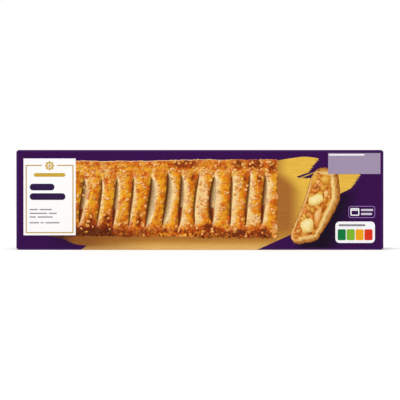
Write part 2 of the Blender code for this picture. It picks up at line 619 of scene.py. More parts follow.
def block(low, high):
    """A bmesh of the box between two corners."""
    bm = bmesh.new()
    bmesh.ops.create_cube(bm, size=1.0)
    low, high = Vector(low), Vector(high)
    for vertex in bm.verts:
        vertex.co = Vector(l + (h - l) * (c + 0.5) for l, h, c in zip(low, high, vertex.co))
    return bm


def at(bm, axis, place):
    """The edges of bm that lie at this place along an axis, as a set."""
    return {e for e in bm.edges if all(math.isclose(v.co[axis], place, abs_tol=1e-6) for v in e.verts)}


def round_edges(bm, edges):
    bmesh.ops.bevel(bm, geom=list(edges), offset=FOLD, offset_type="OFFSET", segments=6, profile=0.5,
                    affect="EDGES", clamp_overlap=True)


def swell_panel(bm, panel_y):
    """Cuts a wide panel finely, most closely beside its folds, and swells it."""
    beside = FOLD + 0.4 * MM
    for place in [cell * LENGTH / 48 for cell in range(-23, 24)] + [DUST_END - beside, beside - DUST_END]:
        cut_across(bm, (place, 0, 0), (1, 0, 0))
    for height in [cell * HEIGHT / 16 for cell in range(1, 16)] + [beside, HEIGHT - beside]:
        cut_across(bm, (0, 0, height), (0, 0, 1))
    for vertex in (v for v in bm.verts if math.isclose(v.co.y, panel_y, abs_tol=1e-6)):
        vertex.co.y += math.copysign(swell(vertex.co.x, vertex.co.z), panel_y)


def loose(name, bm, materials):
    """A helper object for a bmesh, with its faces pointing outwards."""
    bmesh.ops.recalc_face_normals(bm, faces=bm.faces)
    mesh = bpy.data.meshes.new(name)
    bm.to_mesh(mesh)
    bm.free()
    for material in materials:
        mesh.materials.append(material)
    helper = bpy.data.objects.new(name, mesh)
    bpy.context.scene.collection.objects.link(helper)
    return helper


def flap_slab(hinge_y, free_y, reach):
    """The two end flaps of one wide panel, through the carton. Their cut sides are marked as raw board."""
    relief, taper, corner = 1.1 * MM, 2.0 * MM, 4 * MM
    toward = 1 if free_y > hinge_y else -1
    points = [(hinge_y, HEIGHT - relief), (hinge_y, relief)]
    for centre_z, start in ((relief + taper + corner, -90), (HEIGHT - relief - taper - corner, 0)):
        points += [(free_y - toward * corner + toward * y, z)
                   for y, z in arc((0, centre_z), corner, start, start + 90, 8)]
    bm = bmesh.new()
    face = bm.faces.new([bm.verts.new((-reach, y, z)) for y, z in points])
    grown = bmesh.ops.extrude_face_region(bm, geom=[face])
    for vertex in (v for v in grown["geom"] if isinstance(v, bmesh.types.BMVert)):
        vertex.co.x = reach
    for side in bm.faces:
        on_hinge = all(math.isclose(v.co.y, hinge_y, abs_tol=1e-6) for v in side.verts)
        side.material_index = int(abs(side.normal.x) < 0.5 and not on_hinge)
    round_edges(bm, at(bm, 1, hinge_y) - at(bm, 2, HEIGHT - relief) - at(bm, 2, relief))
    return bm


def folded_board(settings):
    """The shut carton as one piece of folded board, with raw edges where its flaps and its seam are cut."""
    seam_rise, root = 2.2 * MM, 4 * MM
    materials = [purple_ground(settings), raw_board(settings)]
    core = block((-DUST_END, -DEPTH / 2, 0), (DUST_END, DEPTH / 2 - BOARD, HEIGHT))
    round_edges(core, core.edges[:])
    swell_panel(core, -DEPTH / 2)
    back = block((-DUST_END, DEPTH / 2 - root, seam_rise), (DUST_END, DEPTH / 2, HEIGHT))
    for face in back.faces:
        face.material_index = int(all(math.isclose(v.co.z, seam_rise, abs_tol=1e-6) for v in face.verts))
    ends = at(back, 0, DUST_END) | at(back, 0, -DUST_END)
    round_edges(back, (at(back, 1, DEPTH / 2) - at(back, 2, seam_rise)) | (at(back, 2, HEIGHT) & ends))
    swell_panel(back, DEPTH / 2)
    whole = loose("folded_board", core, materials)
    parts = [
        loose("back_panel", back, materials),
        loose("inner_flaps", flap_slab(DEPTH / 2, -DEPTH / 2 + 9 * MM, INNER_END), materials),
        loose("outer_flaps", flap_slab(-DEPTH / 2, DEPTH / 2 - 2.2 * MM, OUTER_END), materials),
    ]
    for part in parts:
        union = whole.modifiers.new(part.name, "BOOLEAN")
        union.operation = "UNION"
        union.solver = "EXACT"
        union.object = part
    depsgraph = bpy.context.evaluated_depsgraph_get()
    mesh = bpy.data.meshes.new_from_object(whole.evaluated_get(depsgraph), depsgraph=depsgraph)
    for helper in (*parts, whole):
        bpy.data.objects.remove(helper)
    mesh.shade_smooth()
    mesh.set_sharp_from_angle(angle=math.radians(35))
    return mesh


class CARTON_OT_board(bpy.types.Operator):
    """Fold the board of the carton: its panels, folds, glued seam and end flaps"""

    bl_idname = "carton.board"
    bl_label = "Folded board"

    def execute(self, context):
        piece = keep("folded_board", folded_board(context.scene.carton_board))
        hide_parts("carton")
        return {"FINISHED"}


# ---------------------------------------------------------------------- the gold field


def gold_print(settings, pastry, shadowed=True):
    """Gold offset ink, brushed on in the artwork.

    It has streaks along the sweep, a fine glitter, and the pastry's shadow.
    """
    material, tree, shader, place = varnished_board("gold_offset_ink", 0.40)
    axes = add_node(tree, "ShaderNodeSeparateXYZ", {0: place})
    turned = add_node(tree, "ShaderNodeMapping", {
        "Vector": place, "Rotation": (0, math.radians(24), 0), "Scale": (0.12, 1, 1)})
    streaks = add_node(tree, "ShaderNodeTexNoise", {
        "Vector": turned, "Scale": 1 / (1.6 * MM), "Detail": 4.0})
    glitter = add_node(tree, "ShaderNodeTexNoise", {
        "Vector": place, "Scale": 1 / (0.6 * MM), "Detail": 2.0})
    right_of_end = add_node(tree, "ShaderNodeMapRange", {
        "Value": axes.outputs["X"], "From Min": pastry.right + 29 * MM, "From Max": pastry.right + 9 * MM},
        **EASED)
    slant = add_node(tree, "ShaderNodeMath", {
        0: axes.outputs["X"], 1: 0.8, 2: axes.outputs["Z"]}, operation="MULTIPLY_ADD")
    below_head = add_node(tree, "ShaderNodeMapRange", {
        "Value": slant, "From Min": 82 * MM + 0.8 * pastry.right, "From Max": 66 * MM + 0.8 * pastry.right},
        **EASED)
    above_base = add_node(tree, "ShaderNodeMapRange", {
        "Value": axes.outputs["Z"], "From Min": -8 * MM, "From Max": 24 * MM}, **EASED)
    beside_end = add_node(tree, "ShaderNodeMath", {0: right_of_end, 1: below_head}, operation="MULTIPLY")
    beside = add_node(tree, "ShaderNodeMath", {0: beside_end, 1: above_base}, operation="MULTIPLY")
    under = add_node(tree, "ShaderNodeMapRange", {
        "Value": axes.outputs["Z"], "From Min": -1 * MM, "From Max": 12 * MM, "To Max": 0.95}, **EASED)
    left_of_end = add_node(tree, "ShaderNodeMapRange", {
        "Value": axes.outputs["X"], "From Min": pastry.right + 12 * MM, "From Max": pastry.right - 6 * MM},
        **EASED)
    below = add_node(tree, "ShaderNodeMath", {0: under, 1: left_of_end}, operation="MULTIPLY")
    shadow = add_node(tree, "ShaderNodeMath", {0: beside, 1: below}, operation="MAXIMUM")
    far_left = add_node(tree, "ShaderNodeMapRange", {
        "Value": axes.outputs["X"], "From Min": -45 * MM, "From Max": -104 * MM, "To Max": 0.9})
    off_base = add_node(tree, "ShaderNodeMapRange", {
        "Value": axes.outputs["Z"], "From Min": 0.0, "From Max": 5 * MM, "To Min": 0.45})
    tip = add_node(tree, "ShaderNodeMath", {0: far_left, 1: off_base}, operation="MULTIPLY")
    deepest = add_node(tree, "ShaderNodeMapRange", {
        "Value": axes.outputs["X"], "From Min": -115 * MM, "From Max": -128 * MM})
    umber = add_node(tree, "ShaderNodeMix", {
        0: deepest, 6: linear("#8A4E1C"), 7: linear("#300C1E")}, **COLOURS)
    low = add_node(tree, "ShaderNodeMapRange", {
        "Value": axes.outputs["Z"], "From Min": 10 * MM, "From Max": 0.5 * MM}, **EASED)
    gold = add_node(tree, "ShaderNodeMix", {
        0: low, 6: tuple(settings.bright), 7: tuple(settings.pale)}, **COLOURS)
    shaded = add_node(tree, "ShaderNodeMix", {
        0: shadow.outputs[0] if shadowed else 0.0, 6: gold, 7: tuple(settings.deep)}, **COLOURS)
    dimmed = add_node(tree, "ShaderNodeMix", {
        0: tip.outputs[0] if shadowed else 0.0, 6: shaded, 7: umber}, **COLOURS)
    texture = add_node(tree, "ShaderNodeMath", {0: streaks, 1: 0.6, 2: glitter}, operation="MULTIPLY_ADD")
    tone = add_node(tree, "ShaderNodeMapRange", {
        "Value": texture, "From Min": 0.45, "From Max": 1.15, "To Min": 0.80, "To Max": 1.18})
    brushed = add_node(tree, "ShaderNodeMix", {0: 1.0, 6: dimmed, 7: tone}, **TINTS)
    tree.links.new(brushed.outputs[2], shader.inputs["Base Color"])
    return material


def gold_sweep(settings):
    """The outline of the swept gold field, from its lower left tip along the base and up to the right."""
    tooth = settings.tooth
    lower_tip = metres((-148, 14.5), (-137, 12.2), (-127, 10.4), (-121, 7.4), (-114, 5.0), (-104.5, 4.0))
    into_base = metres((-104.5, 4.0), (-107, 2.2), (-110, 0.2), (-118, -9))
    under_base = [(40 * MM, -11 * MM)]
    up_right = metres((50, -1.2), (84, 14), (94, 22))
    behind_slice = metres((112, 60), (106, 66.5))
    notch = metres((106, 66.5), (91, 66), (90, 68), (100, 71.5))
    right_end = metres((100, 71.5), (104, 77), (110, 84.6))
    crest = metres((110, 84.6), (98, 86.2), (86, 85), (71, 82.5), (60, 79))
    return (
        smooth_line(lower_tip)[:-1]
        + ragged_line(into_base, tooth * 0.25, 1.6 * MM, (1, 0.5), 3)
        + under_base
        + up_right
        + behind_slice
        + ragged_line(notch, tooth * 0.55, 2.0 * MM, (1, 0.35), 5)[:-1]
        + ragged_line(right_end, tooth, 2.0 * MM, (1, 0.35), 11)[:-1]
        + smooth_line(crest)
    )


def bristles():
    """Single dry bristle marks in the notch of the sweep, each a long thin sliver."""
    rng = random.Random(2)
    marks = []
    for number in range(6):
        start = Vector((87.0 + 2.6 * number, 65.2 + 0.9 * number)) * MM
        along = Vector((1, 0.16 + 0.04 * number)).normalized() * rng.uniform(8, 12) * MM
        across = Vector((-along.y, along.x)).normalized() * rng.uniform(0.18, 0.30) * MM
        middle = start + along * rng.uniform(0.4, 0.6)
        marks.append([tuple(start), tuple(middle - across), tuple(start + along), tuple(middle + across)])
    return marks


def gold_tip(settings):
    """The outline of the sweep's last tip, which shows between the slice and the date field."""
    edge = metres((148, 69.2), (143, 62), (139, 56.5), (128.5, 51.5))
    ragged = ragged_line(edge[::-1], settings.tooth * 1.1, 2.0 * MM, (1, 0.3), 8)
    return [(124 * MM, 73 * MM), (124 * MM, 54 * MM), *ragged, (146 * MM, 74 * MM)]


class CARTON_OT_gold(bpy.types.Operator):
    """Print the swept gold field on the front panel"""

    bl_idname = "carton.gold"
    bl_label = "Gold field"

    def execute(self, context):
        settings = context.scene.carton_gold
        material = gold_print(settings, context.scene.carton_pastry)
        lay("gold_sweep", fill(gold_sweep(settings)), on_front, 0.5, material)
        lay("gold_bristles", fill_all(bristles()), on_front, 0.5, material)
        lay("gold_tip", fill(gold_tip(settings)), on_front, 0.5, material)
        return {"FINISHED"}


# ---------------------------------------------------------------------- the pictured strudel


class Slit(NamedTuple):
    """One slit of the pictured strudel.

    It holds the places of its head and foot, its form, and what is seen inside.
    """

    head_u: float
    foot_u: float
    head: float
    foot: float
    width: float
    bow: float
    wall: float
    filled: float

    def line(self, v):
        """Where the slit, or its line carried on past its ends, is at this height."""
        centre, half = (self.foot + self.head) / 2, (self.head - self.foot) / 2
        bent = max(-1.25, min(1.25, (v - centre) / half))
        share = 0.6 + 0.62 * bent - 0.12 * bent**3 - 0.10 * bent**2
        return self.foot_u + (self.head_u - self.foot_u) * share + self.bow * max(0.0, 1 - bent**2)

    def open_at(self, v):
        """How wide the slit stands open at this height."""
        share = (v - self.foot) / (self.head - self.foot)
        return self.width * math.sin(math.pi * share) ** 0.45 if 0 < share < 1 else 0.0

    def edges(self, v):
        """Its left and right edge at this height. The pale inner wall is on the right."""
        return self.line(v) - 0.32 * self.open_at(v), self.line(v) + 0.68 * self.open_at(v)


# The slits from left to right: how far right the head and the foot are, how high they are, the greatest
# width, and how far the middle bows to the right, in millimetres. Then how much of the pale inner wall is
# seen, and the share of the height that the filling takes up.
SLITS = (
    (-107.0, -111.6, 65.5, 24.6, 5.0, -0.4, 0.50, 0.32),
    (-90.8, -95.6, 65.6, 21.2, 2.2, 0.0, 0.10, 0.20),
    (-76.7, -80.4, 65.6, 22.0, 4.0, -0.6, 0.55, 0.36),
    (-61.4, -65.8, 66.4, 21.2, 2.6, -0.5, 0.15, 0.10),
    (-44.8, -50.0, 67.0, 22.0, 6.8, 0.8, 1.00, 0.00),
    (-29.5, -34.6, 71.0, 22.0, 6.2, 1.3, 1.00, 0.00),
    (-16.7, -19.6, 68.3, 21.2, 4.6, 0.0, 0.60, 0.38),
    (-0.5, -4.6, 70.0, 24.4, 2.2, -2.7, 0.15, 0.10),
    (13.5, 11.5, 67.4, 25.2, 6.6, -2.4, 0.95, 0.32),
    (29.7, 28.2, 69.2, 23.6, 2.9, -0.7, 0.20, 0.25),
    (46.2, 42.4, 70.4, 22.0, 2.8, -1.1, 0.30, 0.28),
    (60.6, 57.3, 68.4, 24.0, 4.4, -0.7, 0.45, 0.36),
)
# Between these heights the sugar keeps off the slits.
SLITS_START, SLITS_END = 23 * MM, 69 * MM
# Over these stretches, upwards and to the left, the glaze takes over from the sugar.
GLAZED_ABOVE = (72 * MM, 76 * MM)
GLAZED_LEFT_OF = (-85 * MM, -50 * MM)
# How pale the left half of each strip between the slits is, from left to right.
PALE_STRIPS = (0.10, 0.35, 0.25, 0.30, 0.40, 0.45, 0.80, 0.80, 1.10, 0.65, 0.95, 0.75, 0.66)


def make_slits():
    """The slits in metres."""
    return [Slit(*(length * MM for length in slit[:6]), *slit[6:]) for slit in SLITS]


def uneven(u, v, size, seed):
    """Smooth noise from about -1 to 1, for a place in metres and a size of bumps."""
    return noise.noise(Vector((u / size, v / size, seed)))


def pastry_head(settings, u):
    """The height of the strudel's upper outline, which swells over each strip."""
    rise = 1.2 * MM * smoothstep(-60 * MM, -10 * MM, u)
    swollen = settings.head + rise + 0.6 * MM * uneven(u, 0, 9 * MM, 1.5)
    return swollen + 0.35 * MM * uneven(u, 0, 2.2 * MM, 4.5)


def pastry_foot(settings, u):
    """The height of the strudel's lower outline, crumbly and a little lower at the right."""
    fall = 1.6 * MM * smoothstep(-90 * MM, 60 * MM, u)
    crumbly = settings.foot + 0.9 * MM - fall + 0.9 * MM * uneven(u, 0, 6 * MM, 2.5)
    return crumbly + 0.5 * MM * uneven(u, 0, 1.6 * MM, 7.5)


# Patches on the pictured strudel that are baked darker, or paler where the strength is negative: how far
# right, how high, half width, half height, strength. Lengths are in millimetres.
BAKED_PATCHES = (
    (-13, 79.5, 18, 6.5, 0.76),
    (-6.5, 65.0, 3.8, 9, 0.72),
    (22, 77, 9, 7, 0.40),
    (36, 79, 9, 7, 0.72),
    (41, 66, 3.4, 9, 0.58),
    (51, 79, 12, 7, 0.80),
    (54.5, 66, 4, 9, 0.70),
    (67, 77, 7, 9, 0.76),
    (-70, 79, 9, 5, 0.34),
    (-98, 79, 10, 5, 0.34),
    (-103, 26, 8, 16, 0.76),
    (-87, 25, 8, 13, 0.78),
    (-72, 23, 7, 10, 0.60),
    (-57, 27, 6, 14, 0.70),
    (-41, 34, 5, 15, 0.52),
    (-97, 50, 4, 12, 0.34),
    (-55, 52, 4, 12, 0.34),
    (22, 40, 3, 6, 0.45),
    (68, 42, 3, 7, 0.36),
    (8, 20, 13, 7, 0.80),
    (36, 15.5, 11, 6, 0.95),
    (58, 15.5, 9, 5.5, 0.98),
    (-24, 13, 18, 3.5, -0.80),
    (-76, 56, 3, 14, -0.30),
    (-61, 45, 3, 24, -0.30),
    (-45, 22, 13, 4.5, 0.44),
    (-25, 22, 6, 5, -0.10),
    (-88, 73.5, 12, 4.5, -0.45),
    (-100, 63, 14, 6, -0.35),
    (-75, 63, 14, 6, -0.25),
    (4, 50, 5, 17, -0.75),
    (-10, 46, 5, 12, -0.30),
    (-24, 50, 6, 14, -0.35),
    (51, 28, 6, 5, -1.10),
    (66, 60, 5, 4, -0.50),
    (70, 19, 4.5, 8, -0.95),
)


def browning(u, v, head, foot):
    """How dark the strudel is baked here, from -1 for pale to 1: most along its lower edge at the left."""
    left = 1 - smoothstep(-98 * MM, -62 * MM, u)
    dark = (0.60 + 0.50 * left) * (1 - smoothstep(foot + 4 * MM, foot + 16 * MM, v))
    dark = max(dark, 0.26 * smoothstep(head - 9 * MM, head - 2 * MM, v))
    pale = 0.0
    for patch_u, patch_v, half_u, half_v, strength in BAKED_PATCHES:
        away = math.hypot((u / MM - patch_u) / half_u, (v / MM - patch_v) / half_v)
        reach = abs(strength) * (1 - smoothstep(0.2, 1.3, away))
        if strength > 0:
            dark = max(dark, reach)
        else:
            pale = max(pale, reach)
    return dark - pale


def strudel_drawing(settings, slits):
    """The flat strudel.

    Its columns of faces run along the slits, and carry where they are in their strip.
    """
    columns, rows = 10, 64
    lines = []
    for number in range(len(slits) + 1):
        before = slits[number - 1] if number else None
        after = slits[number] if number < len(slits) else None
        for column in range(columns + 1):
            lines.append((number, column / columns, before, after))
        if after:
            lines.append((number + 1, None, after, None))
    bm = bmesh.new()
    strips = bm.loops.layers.uv.new("strips")
    rib = bm.verts.layers.float.new("rib")
    baked = bm.verts.layers.float.new("browning")
    rim = bm.verts.layers.float.new("rim")
    table = []
    for number, share, before, after in lines:
        column_verts = []
        for row in range(rows + 1):
            up = row / rows
            guess = settings.foot + up * (settings.head - settings.foot)
            if share is None:
                u, across, paleness = before.line(guess), number, 0.0
            else:
                end = settings.right + 0.25 * MM * uneven(0, guess, 3 * MM, 9.5)
                left = before.edges(guess)[1] + 0.2 * MM if before else settings.left
                right = after.edges(guess)[0] - 0.2 * MM if after else end
                u, across = left + (right - left) * share, number + 0.02 + 0.96 * share
                paleness = PALE_STRIPS[number] * (1 - smoothstep(0.0, 0.75, share))
            foot, head = pastry_foot(settings, u), pastry_head(settings, u)
            v = foot + up * (head - foot)
            vertex = bm.verts.new((u, v, 0))
            low_end = min(s.foot for s in (before, after) if s)
            high_end = max(s.head for s in (before, after) if s)
            vertex[rib] = smoothstep(low_end - 5 * MM, low_end + 5 * MM, v) * (
                1 - smoothstep(high_end - 3 * MM, high_end + 6 * MM, v)
            )
            pale_head = (56 + 9 * smoothstep(-10 * MM, 10 * MM, u)) * MM
            patchy = 0.95 + 1.3 * uneven(u, v, 10 * MM, 6.5)
            paleness *= patchy * (1 - smoothstep(pale_head, pale_head + 14 * MM, v))
            vertex[baked] = browning(u, v, head, foot) - paleness * vertex[rib]
            vertex[rim] = 0.85 * (row == rows) * (1 - 0.8 * smoothstep(10 * MM, 40 * MM, u))
            column_verts.append((vertex, across, up))
        table.append(column_verts)
    for column, following in zip(table, table[1:]):
        for corners in zip(column, following, following[1:], column[1:]):
            face = bm.faces.new([corner[0] for corner in corners])
            for loop, corner in zip(face.loops, corners):
                loop[strips].uv = corner[1:]
    return bm


def slits_drawing(slits):
    """All the slits as flat leaf shapes.

    Their UV map runs across each slit and from its foot to its head.
    """
    columns, rows = 6, 28
    bm = bmesh.new()
    across_up = bm.loops.layers.uv.new("strips")
    wall = bm.verts.layers.float.new("wall")
    filled = bm.verts.layers.float.new("filled")
    for number, slit in enumerate(slits):
        table = []
        for row in range(rows + 1):
            up = 0.004 + 0.992 * row / rows
            v = slit.foot + up * (slit.head - slit.foot)
            left, right = slit.edges(v)
            right += 0.25 * MM * uneven(right, v, 4 * MM, 3.5)
            shares = [column / columns for column in range(columns + 1)]
            table.append([(bm.verts.new((left + (right - left) * share, v, 0)),
                           number + 0.02 + 0.96 * share, up)
                          for share in shares])
            for corner in table[-1]:
                corner[0][wall], corner[0][filled] = slit.wall, slit.filled
        for row, following in zip(table, table[1:]):
            for corners in zip(row, row[1:], following[1:], following):
                face = bm.faces.new([corner[0] for corner in corners])
                for loop, corner in zip(face.loops, corners):
                    loop[across_up].uv = corner[1:]
    return bm


def emboss(tree, place, size, gain, light=(-0.5, 0.0, 0.6)):
    """Printed relief: how much brighter a bumpy surface is where it faces the picture's light.

    It is 1 on average.
    """
    toward = add_node(tree, "ShaderNodeVectorMath", {
        0: place, 1: tuple(part * size * 0.35 for part in light)}, operation="ADD")
    heights = [
        add_node(tree, "ShaderNodeTexNoise", {
            "Vector": where, "Scale": 1 / size, "Detail": 4.0, "Roughness": 0.55})
        for where in (place, toward.outputs[0])
    ]
    slope = add_node(tree, "ShaderNodeMath", {
        0: heights[0].outputs["Fac"], 1: heights[1].outputs["Fac"]}, operation="SUBTRACT")
    return add_node(tree, "ShaderNodeMath", {
        0: slope, 1: gain, 2: 1.0}, operation="MULTIPLY_ADD").outputs[0]


def pastry_print():
    """Four-colour print of glazed puff pastry.

    Each strip is pale on its lit left side and amber on its right.
    """
    material, tree, shader, place = varnished_board("process_print_of_pastry", 0.42)
    uv = add_node(tree, "ShaderNodeUVMap", uv_map="strips")
    axes = add_node(tree, "ShaderNodeSeparateXYZ", {0: uv})
    wander = add_node(tree, "ShaderNodeTexNoise", {"Vector": place, "Scale": 1 / (3.5 * MM), "Detail": 3.0})
    share = add_node(tree, "ShaderNodeMath", {0: axes.outputs["X"]}, operation="FRACT")
    wandered = add_node(tree, "ShaderNodeMath", {0: wander, 1: 0.30, 2: share}, operation="MULTIPLY_ADD")
    across = add_node(tree, "ShaderNodeMath", {0: wandered, 1: 0.15}, operation="SUBTRACT")
    strips = add_node(tree, "ShaderNodeValToRGB", {"Fac": across}, stops=(
        (0.00, "#FFE4B6"), (0.11, "#FED79A"), (0.22, "#F6B850"), (0.34, "#F1A526"), (0.52, "#ED9714"),
        (0.70, "#E48A0E"), (0.84, "#C96F08"), (0.94, "#8C4C04"), (1.00, "#603002")))
    bubble = add_node(tree, "ShaderNodeTexNoise", {
        "Vector": place, "Scale": 1 / (4.5 * MM), "Detail": 4.0, "Roughness": 0.6})
    crust = add_node(tree, "ShaderNodeValToRGB", {"Fac": bubble}, stops=(
        (0.34, "#B04A04"), (0.43, "#D6700E"), (0.52, "#E89426"), (0.64, "#FCC264")))
    rib = add_node(tree, "ShaderNodeAttribute", attribute_name="rib")
    ribbed = add_node(tree, "ShaderNodeMix", {0: rib.outputs["Fac"], 6: crust, 7: strips}, **COLOURS)
    glaze = add_node(tree, "ShaderNodeTexNoise", {
        "Vector": place, "Scale": 1 / (6 * MM), "Detail": 4.0, "W": 3.0}, noise_dimensions="4D")
    gold = add_node(tree, "ShaderNodeMapRange", {
        "Value": glaze, "From Min": 0.50, "From Max": 0.60, "To Max": 0.80})
    gilded = add_node(tree, "ShaderNodeMix", {0: gold, 6: ribbed, 7: linear("#E4A420")}, **COLOURS)
    amber = add_node(tree, "ShaderNodeMapRange", {
        "Value": glaze, "From Min": 0.49, "From Max": 0.38, "To Max": 0.90})
    ambered = add_node(tree, "ShaderNodeMix", {0: amber, 6: gilded, 7: linear("#CC5E0C")}, **COLOURS)
    baked = add_node(tree, "ShaderNodeAttribute", attribute_name="browning")
    patchy = add_node(tree, "ShaderNodeTexNoise", {
        "Vector": place, "Scale": 1 / (3.2 * MM), "Detail": 4.0, "Roughness": 0.7})
    depth = add_node(tree, "ShaderNodeMath", {
        0: patchy, 1: 1.7, 2: baked.outputs["Fac"]}, operation="MULTIPLY_ADD")
    brown = add_node(tree, "ShaderNodeMapRange", {
        "Value": depth, "From Min": 0.84, "From Max": 1.62, "To Max": 0.95}, **EASED)
    darkness = add_node(tree, "ShaderNodeMapRange", {"Value": depth, "From Min": 0.85, "From Max": 1.85})
    scorch = add_node(tree, "ShaderNodeValToRGB", {"Fac": darkness}, stops=(
        (0.12, "#CA5A06"), (0.42, "#AE3E04"), (0.72, "#7E2602"), (1.0, "#501202")))
    browned = add_node(tree, "ShaderNodeMix", {0: brown, 6: ambered, 7: scorch}, **COLOURS)
    pale = add_node(tree, "ShaderNodeMapRange", {
        "Value": depth, "From Min": 0.66, "From Max": 0.06, "To Max": 0.68}, **EASED)
    paled = add_node(tree, "ShaderNodeMix", {0: pale, 6: browned, 7: linear("#F8D89C")}, **COLOURS)
    rim = add_node(tree, "ShaderNodeAttribute", attribute_name="rim")
    rimmed = add_node(tree, "ShaderNodeMix", {
        0: rim.outputs["Fac"], 6: paled, 7: linear("#F7D0A2")}, **COLOURS)
    relief = add_node(tree, "ShaderNodeMath", {
        0: emboss(tree, place, 4.2 * MM, 1.2), 1: emboss(tree, place, 1.5 * MM, 1.1)}, operation="MULTIPLY")
    lit = add_node(tree, "ShaderNodeMix", {0: 1.0, 6: rimmed, 7: relief}, **TINTS, clamp_result=True)
    tree.links.new(lit.outputs[2], shader.inputs["Base Color"])
    return material


def slit_print():
    """Print of the slits: deep brown shade at the left, and the pale grey-beige inner wall at the right."""
    material, tree, shader, place = varnished_board("process_print_of_slits", 0.42)
    uv = add_node(tree, "ShaderNodeUVMap", uv_map="strips")
    axes = add_node(tree, "ShaderNodeSeparateXYZ", {0: uv})
    across = add_node(tree, "ShaderNodeMath", {0: axes.outputs["X"]}, operation="FRACT")
    darker_up = add_node(tree, "ShaderNodeMapRange", {
        "Value": axes.outputs["Y"], "To Min": 1.15, "To Max": 0.76})
    share = add_node(tree, "ShaderNodeMath", {0: across, 1: darker_up}, operation="MULTIPLY")
    narrow = add_node(tree, "ShaderNodeValToRGB", {"Fac": share}, stops=(
        (0.00, "#9A520A"), (0.20, "#5A2802"), (0.55, "#743A04"), (0.82, "#BA8230"), (1.00, "#F6D690")))
    wide = add_node(tree, "ShaderNodeValToRGB", {"Fac": share}, stops=(
        (0.00, "#84440A"), (0.10, "#4A2204"), (0.28, "#6E4214"), (0.45, "#A88454"), (0.66, "#C6A678"),
        (0.86, "#D8B886"), (1.00, "#F6DCAA")))
    seen = add_node(tree, "ShaderNodeAttribute", attribute_name="wall")
    wall = add_node(tree, "ShaderNodeMix", {0: seen.outputs["Fac"], 6: narrow, 7: wide}, **COLOURS)
    deep = add_node(tree, "ShaderNodeValToRGB", {"Fac": share}, stops=(
        (0.00, "#7E3E06"), (0.14, "#521A04"), (0.55, "#722404"), (0.78, "#9E5A22"), (1.00, "#F0CC8C")))
    sink = add_node(tree, "ShaderNodeTexNoise", {"Vector": place, "Scale": 1 / (3 * MM), "Detail": 2.0})
    filling = add_node(tree, "ShaderNodeAttribute", attribute_name="filled")
    level = add_node(tree, "ShaderNodeMath", {
        0: sink, 1: 0.2, 2: filling.outputs["Fac"]}, operation="MULTIPLY_ADD")
    filled = add_node(tree, "ShaderNodeMath", {0: axes.outputs["Y"], 1: level}, operation="SUBTRACT")
    below = add_node(tree, "ShaderNodeMapRange", {
        "Value": filled, "From Min": -0.04, "From Max": -0.14}, **EASED)
    colour = add_node(tree, "ShaderNodeMix", {0: below, 6: wall, 7: deep}, **COLOURS)
    lit = add_node(tree, "ShaderNodeMix", {
        0: 1.0, 6: colour, 7: emboss(tree, place, 2 * MM, 1.8)}, **TINTS, clamp_result=True)
    tree.links.new(lit.outputs[2], shader.inputs["Base Color"])
    return material


def speck_print(name, shade, low, middle, high):
    """Print of many small specks, each with a tone of its own, and the shade under each."""
    material, tree, shader, place = varnished_board(name, 0.42)
    tone = add_node(tree, "ShaderNodeAttribute", attribute_name="tone")
    mottle = add_node(tree, "ShaderNodeTexNoise", {"Vector": place, "Scale": 1 / (0.5 * MM), "Detail": 2.0})
    spread = add_node(tree, "ShaderNodeMath", {
        0: mottle, 1: 0.2, 2: tone.outputs["Fac"]}, operation="MULTIPLY_ADD")
    colour = add_node(tree, "ShaderNodeValToRGB", {"Fac": spread}, stops=(
        (0.16, shade), (0.28, low), (0.68, middle), (1.0, high)))
    tree.links.new(colour.outputs[0], shader.inputs["Base Color"])
    return material


